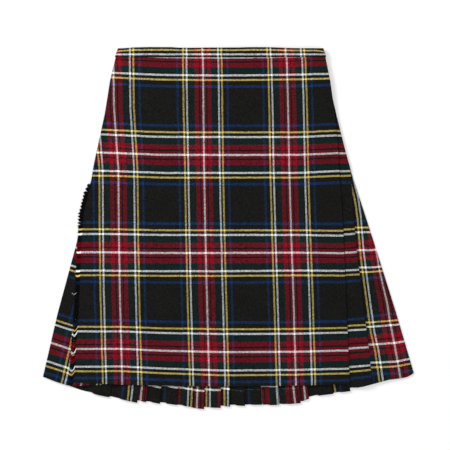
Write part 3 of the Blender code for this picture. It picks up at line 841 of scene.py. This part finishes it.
under_rows = rows_down(0.0, HEM_DOWN, 8.0, BACK_HEM_ROW)
under_apron = cloth_wall("under_apron_cloth", [under_apron_section(down) for down in under_rows])

# %% [markdown]
# ## The right side: front pleat and deep pleat
# On the right the back comes round the side, makes one narrow pleat, and tucks deep under the
# over apron. Both show only as two slim strips beyond the apron's folded edge. The outer strip
# carries a group of stripes and the inner one is plain black ground.

# %% Front pleats
PLEAT_HEM_DOWN = 615.0
DEEP_HEM_LIFT = 7.0
DEEP_HEM_FADE = 12.0
ARC_BLEND_START = 10.0
ARC_BLEND_WIDTH = 50.0
RIGHT_WHITE_LINE = (
    # down, place of the white side line on the outer strip, width of the threads right of it
    (0.0, 186.0, 0.74), (237.3, 226.6, 0.74), (273.5, 235.7, 0.74), (307.0, 240.7, 0.74),
    (327.8, 242.0, 0.74), (364.0, 245.4, 0.74), (402.7, 250.3, 0.80), (428.6, 253.8, 0.89),
    (455.8, 257.6, 0.99), (502.3, 264.1, 1.05), (536.7, 271.9, 1.02), (598.2, 281.1, 1.10),
    (640.0, 287.5, 1.10),
)
RIGHT_SIDE_THREAD = -28.8
INNER_STRIP_BEND = (
    # down, rise of the crosswise lines at three places across the inner strip
    (0.0, 2.0, 2.4, 3.0), (240.0, 3.0, 3.5, 5.0), (371.0, 0.2, 0.7, 3.5), (404.0, 0.9, 1.5, 4.0),
    (515.0, 6.0, 6.7, 9.0), (585.0, 6.0, 6.3, 10.0),
)
OUTER_STRIP_BEND = (
    # down, rise of the crosswise lines at three places across the outer strip
    (0.0, 3.0, 4.0, 5.0), (240.0, 5.0, 8.0, 10.0), (371.0, 5.0, 9.8, 12.8),
    (515.0, 13.4, 17.4, 23.4), (585.0, 14.4, 16.1, 22.0),
)
INNER_STRIP_PLACES = (205.0, 219.0, 258.0)
OUTER_STRIP_PLACES = (258.0, 305.0, 336.0)
INNER_STRIP_THREAD = 54.0
FLOOR_POINTS = 6
RIGHT_SIDE_POINTS = 26
HIDDEN_POINTS = 10
DEEP_POINTS = (30, 8, 3)
SIDE_BLEND_POINTS = 8.0
DEEP_END = 40.0


def front_pleat_line_y(down, across):
    past_edge = across - outline("apron_right", down)
    share = smooth((past_edge + ARC_BLEND_START) / ARC_BLEND_WIDTH)
    tucked = DEEP_HEM_LIFT * smooth(-past_edge / DEEP_HEM_FADE)
    straight = WAIST_Y - BAND_EDGE - down * (PLEAT_HEM_DOWN - tucked - BAND_EDGE) / HEM_DOWN
    return straight + (arc_line_y(down, across) - straight) * share


def right_weft(y, x, places, bend):
    """Crosswise thread at a place on one of the two strips of the right side."""
    below = WAIST_Y - y
    rises = np.array([np.interp(across, places, read_row(bend, down)) for down, across in zip(below, x)])
    return weft_at(below + rises)


def right_warp(down, across):
    """Lengthwise thread on the outer strip, which narrows where it goes over the side."""
    line, width = read_row(RIGHT_WHITE_LINE, down)
    beyond = across - line
    return RIGHT_SIDE_THREAD + np.where(beyond < 0.0, beyond, beyond / width)


def right_strip(points, down, warp, places, bend):
    x = points[:, 0]
    y = front_pleat_line_y(down, x)
    return strip(x, y, points[:, 1], warp, right_weft(y, x, places, bend))


print("front pleat %.0f mm deep, deep pleat %.0f mm" % (FRONT_PLEAT_DEPTH, DEEP_PLEAT_DEPTH))

# %% [markdown]
# ## The front pleats' sections
# One section has four strips: the last knife pleat's fold, the way round the side to the tuck of
# the front pleat, the hidden floor of that pleat, and its fold with the cloth of the deep pleat.
# Just past the side, the arc of the back is blended into the straighter line of the front.

# %% Sections of the front pleats
def front_tuck_x(down):
    """Axis of the fold inside the front pleat."""
    return outline("pleat_right", down) - FRONT_PLEAT_DEPTH + SOLID_WALL / 2 + FOLD_RADIUS


def inside_fold(x, down):
    """Points round a fold that opens to the right, from the lowest front layer to the next."""
    middle = float(front_level(down, x, 0.5))
    return half_turn(x, middle, FOLD_RADIUS, 270.0, 90.0, INSIDE_FOLD_STEPS)


def outer_right_strip(down, start):
    """From the last knife pleat round the right side and back to the tuck of the front pleat."""
    low = SOLID_WALL / 2 + band_lift(down)
    side_x = outline("back_right", down)
    radius = (float(front_level(down, side_x)) - low) / 2
    centre_x = side_x - SOLID_WALL / 2 - radius
    tuck_x = front_tuck_x(down)
    floor_x = np.linspace(outer_fold_x(LAST_PLEAT, down), centre_x, FLOOR_POINTS)
    bottom = np.stack([floor_x, np.full(FLOOR_POINTS, low)], axis=1)
    turn = half_turn(centre_x, low + radius, radius, -90.0, 90.0, SIDE_FOLD_STEPS)
    face_x = np.linspace(centre_x, tuck_x, RIGHT_SIDE_POINTS)
    face = np.stack([face_x, front_level(down, face_x)], axis=1)
    end = [(tuck_x, float(front_level(down, tuck_x, 1.0)))]
    points = np.concatenate([bottom, turn, face, inside_fold(tuck_x, down), end])
    first = len(bottom) + len(turn)
    warp = threads_round_face(points, first, right_warp(down, face_x))
    outer = right_strip(points, down, warp, OUTER_STRIP_PLACES, OUTER_STRIP_BEND)
    outer[:first, 1] = arc_line_y(down, outer[:first, 0])
    on_face = outer[first:first + len(face)]
    arc = arc_line_y(down, face_x)
    blend = smooth(np.arange(len(face)) / SIDE_BLEND_POINTS)
    on_face[:, 1] = arc + (on_face[:, 1] - arc) * blend
    outer[0, :3] = start
    return outer


def inner_right_strips(down):
    """The hidden floor of the front pleat, then its fold and the cloth of the deep pleat."""
    pleat_x = outline("pleat_right", down) - SOLID_WALL / 2 - FOLD_RADIUS
    deep_x = deep_fold_x(down)
    hidden_x = np.linspace(front_tuck_x(down), pleat_x, HIDDEN_POINTS)
    hidden = np.stack([hidden_x, front_level(down, hidden_x, 1.0)], axis=1)
    fold_z = float(front_level(down, pleat_x, 1.5))
    fold = half_turn(pleat_x, fold_z, FOLD_RADIUS, -90.0, 90.0, FOLD_STEPS)
    near_x = deep_x + DEEP_END
    top_x = np.concatenate([np.linspace(pleat_x, near_x, DEEP_POINTS[0]),
                            np.linspace(near_x, deep_x, DEEP_POINTS[1])[1:]])
    top = np.stack([top_x, front_level(down, top_x, 2.0 * pleat_ramp(down, top_x))], axis=1)
    end_x = np.linspace(deep_x, deep_x + DEEP_SEAM, DEEP_POINTS[2])
    end = np.stack([end_x, front_level(down, end_x, 1.0)], axis=1)
    deep = np.concatenate([hidden[-1:], fold, top, inside_fold(deep_x, down), end])
    edge_thread = INNER_STRIP_THREAD + pleat_x - outline("apron_right", down)
    bend = (INNER_STRIP_PLACES, INNER_STRIP_BEND)
    return [right_strip(hidden, down, thread_count(hidden, 0, 0.0), *bend),
            right_strip(deep, down, thread_count(deep, len(fold) + 1, edge_thread), *bend)]


def front_pleats_section(down):
    last_fold = folded_strip(LAST_PLEAT, down, last_seam_x(down) + SEAM_GAP)
    return [last_fold, outer_right_strip(down, last_fold[-1, :3]), *inner_right_strips(down)]


front_rows = rows_down(0.0, HEM_DOWN, 8.0)
front_pleats = cloth_wall("front_pleats_cloth", [front_pleats_section(down) for down in front_rows])

# %% [markdown]
# ## The waistbands
# The waistband is a narrow strip of the same tartan, turned over the raw top of the kilt and
# stitched down by hand along its lower edge. It is cut from another place in the sett, so its
# stripes meet the body's out of step. A second one lies on the back, under everything.

# %% Waistbands
BAND_THREAD = -46.75
BAND_STRETCH = 1.14
# the crosswise thread at the band's lower edge is held on the black ground: black cloth of the sett that
# also stands in as painted shade along the seam
BAND_FOOT_THREAD = -28.6
BAND_WRAP = (-30.0, 210.0)  # degrees, round the right fold and round the left side
BAND_OFFSET = (
    # across, how many threads the band's upright stripes are out of step with the body's
    (-200.0, -0.3), (-82.0, -0.5), (-47.0, 1.1), (-17.0, 0.6), (70.0, 1.5), (105.0, 1.9), (170.0, 2.0),
)
TOP_EDGE = (
    # across, how far the top edge dips there
    (-201.6, 4.5), (-199.0, 3.0), (-196.2, 1.6), (-181.7, 0.5), (-172.7, -0.3), (-141.9, -0.9),
    (-102.1, -0.7), (-91.2, 0.2), (-69.5, 0.4), (-42.4, 0.0), (21.0, -0.2), (39.1, -0.8),
    (75.3, -0.7), (97.0, 0.2), (116.9, 1.0), (156.7, 1.2), (163.0, 2.0), (169.4, 3.4), (176.7, 6.0),
)
TOP_EDGE_REACH = 13.0
FRONT_BAND_PROFILE = (
    # offset, down
    (0.85, 17.6), (1.15, 17.1), *((LAYER, down) for down in (16.3, 14.0, 11.0, 8.0, 5.0, 2.6, 1.2)),
    (1.1, 0.75), (0.75, 0.5), (0.2, 0.45), (-0.4, 0.5),
)
BACK_BAND_PROFILE = (
    # share of the way up to the front, down
    (0.0, 16.5), (0.0, 11.0), (0.0, 5.0), (0.0, 0.5), (0.0, -0.6), (0.12, -0.95), (0.5, -1.0), (1.0, -1.0),
)
BACK_BAND_INSET = 14.0
BACK_BAND_WARP = 40.0
BACK_BAND_TURN = 6.0
BACK_BAND_POINTS = 90


def front_band_section(offset, down):
    face_x = apron_face_x(down)
    turn_x, top_z, radius = apron_side(down)
    fold_z = float(apron_top_z(down, face_x[0])) - FOLD_RADIUS
    turn = half_turn(face_x[0], fold_z, FOLD_RADIUS + offset, BAND_WRAP[0], 90.0, FOLD_STEPS)
    face = np.stack([face_x, apron_top_z(down, face_x) + offset], axis=1)
    side = half_turn(turn_x, top_z - radius, radius + offset, 90.0, BAND_WRAP[1], SIDE_FOLD_STEPS)
    points = np.concatenate([turn, face, side])
    x = points[:, 0]
    y = apron_line_y(down, x) - read(TOP_EDGE, x) * smooth((TOP_EDGE_REACH - down) / TOP_EDGE_REACH)
    warp = threads_round_face(points, len(turn), apron_warp(down, face_x) + read(BAND_OFFSET, face_x))
    tuck = (LAYER - offset) * (-1.0 if down > BAND_HEIGHT else 1.0)
    # held on black at the band's foot, as painted shade along the seam
    weft = min(BAND_STRETCH * down + BAND_THREAD - tuck, BAND_FOOT_THREAD)
    return [strip(x, y, points[:, 1], warp, np.full(len(x), weft))]


def back_band_section(rise, down):
    x = np.linspace(outline("back_right", 0.0) - BACK_BAND_INSET,
                    BACK_BAND_INSET - outline("under_left", 0.0), BACK_BAND_POINTS)
    top = front_level(0.0, x) - LAYER / 2 - SEAM_GAP / 2
    z = SOLID_WALL / 2 + rise * (top - SOLID_WALL / 2)
    weft = np.full(len(x), down + BAND_THREAD - BACK_BAND_TURN * rise)
    return [strip(x, arc_line_y(0.0, x) - down, z, x - BACK_BAND_WARP, weft)]


waistband_front = cloth_wall("waistband_front_cloth",
                             [front_band_section(*row) for row in FRONT_BAND_PROFILE])
waistband_back = cloth_wall("waistband_back_cloth",
                            [back_band_section(*row) for row in BACK_BAND_PROFILE])

# %% [markdown]
# ## The fringe and the loose threads
# The over apron's left edge is not hemmed. A few lengthwise yarns are drawn out of it, and the
# crosswise yarns that are left stand as a fringe, each in its own colour with no other colour
# woven through it. They sag towards the hem. Above the hip, where the apron turns round the
# side, they stick out as short dark tufts.

# %% Fringe of drawn threads
FRINGE_FROM = 244.0
FRINGE_TO = 606.0
FRINGE_PITCH = 0.34
FRINGE_RADIUS = 0.34
FRINGE_POINTS = 7
FRINGE_INSIDE = 0.8
FRINGE_CLEAR = 0.75
FRINGE_LOWEST = 0.5
REACH_UNEVEN = 0.7
TIP_FALL = (0.6, 1.2)  # least fall of a thread's tip, and how much more it may be
THREAD_LIFT = 0.3
SAG_LENGTH = 1.25
THICKNESS_RANGE = (0.8, 0.5)  # least thickness, and how much more it may be
TUFTS_TO = 324.0
TUFT_THREADS = 3
TUFT_PITCH = 6.4
TUFT_THICKNESS = 1.5
TUFT_GATHER = 0.35
TUFT_MIDDLE = 1.15
TUFT_TAPER = 0.30
TIP = 0.6
FRINGE_SHAPE = (
    # down, reach outward, droop towards the hem, unevenness
    (240.0, 4.5, 5.0, 0.12), (262.0, 8.5, 6.0, 0.12), (290.0, 8.0, 6.0, 0.12), (318.0, 8.0, 3.0, 0.12),
    (326.0, 8.5, 0.8, 0.08), (404.0, 8.5, 0.8, 0.08), (424.0, 8.0, 2.0, 0.15), (448.0, 8.5, 5.0, 0.15),
    (500.0, 9.5, 8.0, 0.12), (560.0, 10.0, 9.5, 0.12), (610.0, 9.0, 7.0, 0.15),
)


print("tufts above the hip:", round((TUFTS_TO - FRINGE_FROM) / TUFT_PITCH))

# %% [markdown]
# ## Thin threads
# Hair curves would be quick to draw, but a mesh keeps its shape in any program. Each thread is a
# thin four-sided tube along a line of points, and all the threads of a piece share one mesh.

# %% Mesh of thin threads
def threads_mesh(name, lines, radii, weft):
    """One mesh of threads along lines of points, with a radius and a yarn for each."""
    vertices, faces, uv = [], [], []
    for line, radius, thread in zip(lines, radii, weft):
        line = np.asarray(line, float)
        along = np.gradient(line, axis=0)
        along /= np.linalg.norm(along, axis=1, keepdims=True)
        beside = np.cross(along, (0.0, 0.0, 1.0))
        beside /= np.linalg.norm(beside, axis=1, keepdims=True)
        above = np.cross(beside, along)
        thick = radius * np.linspace(1.0, TIP, len(line))[:, None]
        corners = [line + thick * (beside * math.cos(a) + above * math.sin(a))
                   for a in (0.0, math.pi / 2, math.pi, 1.5 * math.pi)]
        start = len(vertices)
        vertices += np.stack(corners, axis=1).reshape(-1, 3).tolist()
        for step in range(len(line) - 1):
            for k in range(4):
                a, b = start + 4 * step + k, start + 4 * step + (k + 1) % 4
                faces.append((a, a + 4, b + 4, b))
        faces.append((start + 3, start + 2, start + 1, start)[::-1])
        end = start + 4 * (len(line) - 1)
        faces.append((end, end + 1, end + 2, end + 3)[::-1])
        uv += [(0.0, thread)] * (4 * (4 * (len(line) - 1) + 2))
    return mesh_piece(name, np.array(vertices) * MM, np.array(faces), np.array(uv))


print("four sides to a thread, and its tip is %.0f %% of its thickness" % (100 * TIP))

# %% [markdown]
# ## Threads of the fringe
# A random generator with a fixed start gives the same fringe each time. Every thread starts a
# little inside the cloth's edge, falls to the layer below, and sags towards the hem.

# %% Threads of the fringe
def into_tuft(down, share):
    """How far a thread runs to its tuft's tip, and how long it is for its place in the tuft."""
    tuft = TUFT_PITCH * (math.floor(down / TUFT_PITCH) + 0.5)
    beside = abs(down - tuft) / (TUFT_PITCH / 2)
    return TUFT_GATHER * (tuft - down) * share, TUFT_MIDDLE - TUFT_TAPER * beside


def fringe_threads():
    draw = np.random.default_rng(7)
    lines, radii, weft = [], [], []
    shares = np.linspace(0.0, 1.0, FRINGE_POINTS)
    tufts = np.repeat(np.arange(FRINGE_FROM, TUFTS_TO, FRINGE_PITCH), TUFT_THREADS)
    for down in np.concatenate([tufts, np.arange(TUFTS_TO, FRINGE_TO, FRINGE_PITCH)]):
        in_tuft = down < TUFTS_TO
        x, z = apron_side_point(down, float(read(FRINGED_EDGE, down)))
        y = float(apron_line_y(down, x))
        reach, droop, uneven = read_row(FRINGE_SHAPE, down)
        reach *= 1.0 + uneven * draw.normal() * REACH_UNEVEN
        droop *= 1.0 + uneven * draw.normal()
        fall = TIP_FALL[0] + TIP_FALL[1] * draw.random()
        below = float(front_level(down, max(x - reach, -outline("under_left", down)))) + FRINGE_CLEAR
        height = np.maximum(z - fall * shares, min(below, z)) + THREAD_LIFT * draw.random()
        sag = droop * np.sin(math.pi * shares / SAG_LENGTH)
        if in_tuft:
            gather, length = into_tuft(down, shares)
            sag = sag + gather
            reach *= length
        lines.append(np.stack([x + FRINGE_INSIDE - reach * shares, y - sag,
                               np.maximum(height, FRINGE_LOWEST)], axis=1))
        thickness = THICKNESS_RANGE[0] + THICKNESS_RANGE[1] * draw.random()
        radii.append(FRINGE_RADIUS * thickness * (TUFT_THICKNESS if in_tuft else 1.0))
        weft.append(float(apron_weft(np.array([y]), np.array([x]))[0]))
    print("fringe threads:", len(lines))
    return threads_mesh("apron_fringe_threads", lines, radii, weft)


apron_fringe = fringe_threads()

# %% [markdown]
# ## Stitches and one stray thread
# The waistband is sewn down by hand, with a row of short stitches along its lower edge. Each is
# a thread of three points that comes up out of the cloth and goes down again. One pulled thread
# stands out of the left side, as on most used wool.

# %% Stitches along the waistband and one stray thread
STITCHES_FROM = -194.0
STITCHES_TO = 170.0
STITCH_SPACING = 5.2
STITCH_LENGTH = 2.6
STITCH_DOWN = BAND_HEIGHT - 0.9
STITCH_ABOVE = LAYER + 0.42
STITCH_DIP = 0.25
STITCH_SLANT = (0.0, -0.2, -0.5)
STITCH_RADIUS = 0.22
STITCH_WEFT = 70.0
STRAY_PLACE = (446.0, -279.0)  # down, across
STRAY_RADIUS = 0.28
STRAY_POINTS = (
    # across, Y, how far above the cloth of the side
    (-275.2, -118.4, 1.0), (-276.8, -119.4, 1.6), (-279.2, -122.2, 1.9), (-281.2, -120.6, 1.6),
    (-283.4, -118.8, 1.2),
)


def band_stitches():
    lines = []
    for x in np.arange(STITCHES_FROM, STITCHES_TO, STITCH_SPACING):
        z = float(apron_top_z(STITCH_DOWN, x)) + STITCH_ABOVE
        y = float(apron_line_y(STITCH_DOWN, x))
        lines.append([(x + share * STITCH_LENGTH, y + slant, z - dip) for share, slant, dip in
                      zip((0.0, 0.5, 1.0), STITCH_SLANT, (STITCH_DIP, 0.0, STITCH_DIP))])
    print("stitches:", len(lines))
    return threads_mesh("waistband_stitches", lines, [STITCH_RADIUS] * len(lines),
                        [STITCH_WEFT] * len(lines))


def stray_thread():
    cloth = float(front_level(*STRAY_PLACE, 1.0))
    line = [(x, y, cloth + above) for x, y, above in STRAY_POINTS]
    return threads_mesh("stray_thread", [line], [STRAY_RADIUS], [0.0])


waistband_stitches = band_stitches()
stray = stray_thread()

# %% [markdown]
# ## The tartan cloth
# The cloth is a two-and-two twill: every crosswise yarn goes over two lengthwise yarns and
# under two, one step further along in each row, which draws fine diagonal lines. Where a
# coloured stripe crosses black ground, half of it is hidden under black yarns, so it looks
# darker than where it crosses itself. Mixing the two stripe charts by that diagonal gives all
# of this at once. The wool is matt, a little hairy at grazing light, and slightly uneven.

# %% Helper for shader nodes
CROSSING = 1.6  # stripes are mixed as this root of their colours, then raised to it again


class Nodes:
    """Small helper for linking shader nodes."""

    def __init__(self, material):
        self.tree = material.node_tree

    def add(self, kind, inputs=None, **settings):
        node = self.tree.nodes.new(kind)
        for key, value in settings.items():
            setattr(node, key, value)
        for key, value in (inputs or {}).items():
            if isinstance(value, bpy.types.NodeSocket):
                self.tree.links.new(value, node.inputs[key])
            else:
                node.inputs[key].default_value = value
        return node

    def maths(self, operation, *values, clamp=False):
        node = self.add("ShaderNodeMath", dict(enumerate(values)), operation=operation, use_clamp=clamp)
        return node.outputs[0]

    def mix(self, share, one, other, blend="MIX"):
        node = self.add("ShaderNodeMix", {0: share, 6: one, 7: other}, data_type="RGBA", blend_type=blend)
        return node.outputs[2]

    def noise(self, place, scale, detail):
        node = self.add("ShaderNodeTexNoise", {"Vector": place, "Scale": scale, "Detail": detail})
        return node.outputs[0]

    def toned(self, colour, tone):
        grey = self.add("ShaderNodeCombineColor", {0: tone, 1: tone, 2: tone}).outputs[0]
        return self.mix(1.0, colour, grey, "MULTIPLY")

    def thread_place(self):
        """The lengthwise and the crosswise thread at a place, in repeats."""
        threads = self.add("ShaderNodeUVMap", uv_map="threads").outputs[0]
        split = self.add("ShaderNodeSeparateXYZ", {0: threads})
        return split.outputs[0], split.outputs[1]

    def chart(self, position, chart, repeat):
        """Stripe colour at a thread position that is counted in repeats."""
        folded = self.maths("PINGPONG", position, 0.5)
        ramp = self.add("ShaderNodeValToRGB", {0: self.maths("MULTIPLY", folded, 2.0)})
        colours = ramp.color_ramp
        colours.interpolation = "CONSTANT"
        while len(colours.elements) < len(chart):
            colours.elements.new(1.0)
        for element, (yarn, start) in zip(colours.elements, chart):
            element.position = start / (repeat / 2)
            element.color = (*(part ** (1.0 / CROSSING) for part in YARNS[yarn]), 1.0)
        return ramp.outputs[0]


def new_material(name):
    material = bpy.data.materials.new(name)
    material.use_nodes = True
    material.node_tree.nodes.remove(material.node_tree.nodes["Principled BSDF"])
    return material, Nodes(material)


def wool_shader(nodes, colour, normal, roughness):
    shader = nodes.add("ShaderNodeBsdfPrincipled", {
        "Base Color": colour, "Roughness": roughness, "Sheen Weight": 0.004, "Sheen Roughness": 0.5,
        "Specular IOR Level": 0.05, "Normal": normal})
    nodes.tree.links.new(shader.outputs[0], nodes.tree.nodes["Material Output"].inputs[0])


print("stripes in half a sett: %d lengthwise, %d crosswise" % (len(WARP_CHART), len(WEFT_CHART)))

# %% [markdown]
# ## The weave
# The material reads the thread coordinates, looks each up in its chart, and mixes the two by a
# sine along the twill's diagonal. A slow noise lets the stripes wander by less than a millimetre,
# a wide one makes faint blotches, and a fine one is the wool's hair, which also moves the bump.

# %% Tartan material
YARN_PITCH = 0.62
WEFT_SHARE = 0.57
TWILL_SHARE = 0.32
TWILL_HEIGHT = 0.25
WANDER = 0.006
BLOTCH_TONE = 0.30
LEAST_TONE = 0.85
FUZZ_TONE = (2.6, -0.3)  # times the noise, and added to it


def tartan_material(name, shade=1.0):
    material, nodes = new_material(name)
    warp_place, weft_place = nodes.thread_place()
    place = nodes.add("ShaderNodeNewGeometry").outputs[0]
    wander = nodes.maths("SUBTRACT", nodes.noise(place, 60.0, 2.0), 0.5)
    drift = nodes.maths("MULTIPLY", wander, WANDER)
    warp = nodes.chart(nodes.maths("ADD", warp_place, drift), WARP_CHART, WARP_REPEAT)
    weft = nodes.chart(nodes.maths("ADD", weft_place, drift), WEFT_CHART, WEFT_REPEAT)
    diagonal = nodes.maths("ADD", nodes.maths("MULTIPLY", warp_place, WARP_REPEAT),
                           nodes.maths("MULTIPLY", weft_place, WEFT_REPEAT))
    twill = nodes.maths("SINE", nodes.maths("MULTIPLY", diagonal, 2 * math.pi / (4 * YARN_PITCH)))
    share = nodes.maths("MULTIPLY_ADD", twill, TWILL_SHARE, WEFT_SHARE, clamp=True)
    woven = nodes.add("ShaderNodeGamma", {0: nodes.mix(share, warp, weft), 1: CROSSING}).outputs[0]
    fuzz = nodes.noise(place, 380.0, 3.0)
    tone = nodes.maths("MULTIPLY_ADD", nodes.noise(place, 22.0, 3.0), BLOTCH_TONE, LEAST_TONE * shade)
    tone = nodes.maths("MULTIPLY", tone, nodes.maths("MULTIPLY_ADD", fuzz, *FUZZ_TONE))
    height = nodes.maths("ADD", nodes.maths("MULTIPLY", twill, TWILL_HEIGHT), fuzz)
    bump = nodes.add("ShaderNodeBump", {"Height": height, "Strength": 0.25, "Distance": 0.0004})
    wool_shader(nodes, nodes.toned(woven, tone), bump.outputs[0], roughness=0.92)
    return material


print("a diagonal of the twill every %.1f mm" % (4 * YARN_PITCH))

# %% [markdown]
# ## Loose yarn
# A drawn or sewing thread has nothing woven through it, so it takes its colour from the
# crosswise chart alone. It is a little darker than the flat cloth, as light gets lost between
# the threads.

# %% Loose yarn material
# painted shade: a further power on the yarn's colours, which darkens drawn and sewing threads for the
# light lost between loose threads
LOOSE_YARN_PAINTED_SHADE = 1.25
YARN_TONE = (0.5, 0.80)  # times the noise, and added to it


def yarn_material(name):
    material, nodes = new_material(name)
    _, weft_place = nodes.thread_place()
    stripes = nodes.chart(weft_place, WEFT_CHART, WEFT_REPEAT)
    # the yarn's stripes are darkened here as painted shade
    colour = nodes.add("ShaderNodeGamma", {0: stripes, 1: CROSSING * LOOSE_YARN_PAINTED_SHADE}).outputs[0]
    fuzz = nodes.noise(nodes.add("ShaderNodeNewGeometry").outputs[0], 1200.0, 2.0)
    tone = nodes.maths("MULTIPLY_ADD", fuzz, *YARN_TONE)
    bump = nodes.add("ShaderNodeBump", {"Height": fuzz, "Strength": 0.4, "Distance": 0.0003})
    wool_shader(nodes, nodes.toned(colour, tone), bump.outputs[0], roughness=0.88)
    return material


drawn_yarn = yarn_material("drawn_yarn")
sewing_yarn = yarn_material("sewing_yarn")
print("yarn materials:", drawn_yarn.name, sewing_yarn.name)

# %% [markdown]
# ## The floor
# The kilt was photographed on plain white. A white floor under white light would still look
# grey where the kilt shades it, so this one glows a little, which keeps the shadow faint.

# %% Floor
FLOOR_HALF = 4.0
FLOOR_DROP = 0.0002
FLOOR_COLOUR = (0.72, 0.72, 0.72, 1.0)
WHITE = (1.0, 1.0, 1.0, 1.0)
floor_mesh = bpy.data.meshes.new("floor")
floor_corners = [(x * FLOOR_HALF, y * FLOOR_HALF, -FLOOR_DROP)
                 for x, y in ((-1, -1), (1, -1), (1, 1), (-1, 1))]
floor_mesh.from_pydata(floor_corners, [], [(0, 1, 2, 3)])
floor = bpy.data.objects.new("floor", floor_mesh)
bpy.context.scene.collection.objects.link(floor)
floor_material, floor_nodes = new_material("white_floor")
floor_shader = floor_nodes.add("ShaderNodeBsdfPrincipled", {
    "Base Color": FLOOR_COLOUR, "Roughness": 0.9, "Specular IOR Level": 0.0,
    "Emission Color": WHITE, "Emission Strength": 0.36})
floor_nodes.tree.links.new(floor_shader.outputs[0], floor_nodes.tree.nodes["Material Output"].inputs[0])
floor_mesh.materials.append(floor_material)
print("floor: %.0f m square" % (2 * FLOOR_HALF))

# %% [markdown]
# ## Putting the pieces on the frame
# Each cloth takes the place of its solid and rides on the one rigid body, and the table lists
# what it was cut to before it was folded. The areas are those of the single cloth.

# %% Pieces on the frame
PIECES = (
    # piece, node, material, cut width, cut length, held, rests on, pieces on it
    (pleated_back, "pleated_back", tartan_material("tartan_back"), 1.10, 0.62, "folded", ["floor"], []),
    (front_pleats, "front_pleats", tartan_material("tartan_right_side"), 0.28, 0.62, "folded",
     ["pleated_back_cloth"], []),
    (under_apron, "under_apron", tartan_material("tartan_under_apron"), 0.66, 0.61, "folded",
     ["pleated_back_cloth"], []),
    (over_apron, "over_apron", tartan_material("tartan_wool"), 0.62, 0.61, "laid",
     ["under_apron_cloth", "front_pleats_cloth"], [apron_fringe, stray]),
    (waistband_front, "waistband_front", tartan_material("tartan_band", 1.05), 0.42, 0.020, "folded",
     ["over_apron_cloth"], [waistband_stitches]),
    (waistband_back, "waistband_back", tartan_material("tartan_back_band"), 0.36, 0.023, "folded",
     ["pleated_back_cloth"], []),
)

for piece, node, material, width, length, held, rests_on, with_pieces in PIECES:
    piece.data.materials.append(material)
    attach(piece, "root")
    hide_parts(node)


THREADS = (
    # piece, material, slot
    (apron_fringe, drawn_yarn, "apron_fringe"),
    (stray, drawn_yarn, "apron_fringe"),
    (waistband_stitches, sewing_yarn, "waistband_front"),
)
for piece, material, slot in THREADS:
    piece.data.materials.append(material)
    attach(piece, "root")
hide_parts("apron_fringe")

# %% [markdown]
# ## Light and camera
# The photograph was taken from straight above in wide, soft light, a little stronger from the
# upper left. The camera looks straight down through a long lens, from 8 m up, so the
# thin layers show almost no perspective.

# %% Lights
WORLD_LIGHT = 0.55
scene = bpy.context.scene
scene.view_settings.view_transform = "Standard"
world = bpy.data.worlds.new("studio")
scene.world = world
world.use_nodes = True
background = world.node_tree.nodes["Background"]
background.inputs[0].default_value = WHITE
background.inputs[1].default_value = WORLD_LIGHT


def soft_light(name, place, aim, size, power):
    data = bpy.data.lights.new(name, "AREA")
    data.shape = "DISK"
    data.size = size
    data.energy = power
    light = bpy.data.objects.new(name, data)
    scene.collection.objects.link(light)
    light.location = place
    away = [p - a for p, a in zip(place, aim)]
    light.rotation_euler = (math.atan2(math.hypot(away[0], away[1]), away[2]), 0.0,
                            math.atan2(away[0], -away[1]))
    return light


soft_light("key_from_upper_left", (-1.5, 1.2, 1.6), (0.0, 0.0, 0.0), 1.0, 34.0)
soft_light("fill_from_right", (1.8, -0.4, 2.2), (0.0, 0.0, 0.0), 1.6, 12.0)
print("lights:", ", ".join(light.name for light in bpy.data.lights))

# %% Camera
CAMERA_HEIGHT = 8.0
CAMERA_PLACE = (-0.00615, 0.0042)
FRAME_LEVEL = 0.006
FRAME_WIDTH = 0.8145
SENSOR_WIDTH = 36.0
camera_data = bpy.data.cameras.new("camera")
camera_data.sensor_width = SENSOR_WIDTH
camera_data.lens = SENSOR_WIDTH * CAMERA_HEIGHT / FRAME_WIDTH
camera_data.clip_end = 50.0
camera = bpy.data.objects.new("camera", camera_data)
scene.collection.objects.link(camera)
camera.location = (*CAMERA_PLACE, CAMERA_HEIGHT + FRAME_LEVEL)
scene.camera = camera
print("camera: %.0f mm lens, %.0f m up" % (camera_data.lens, CAMERA_HEIGHT))
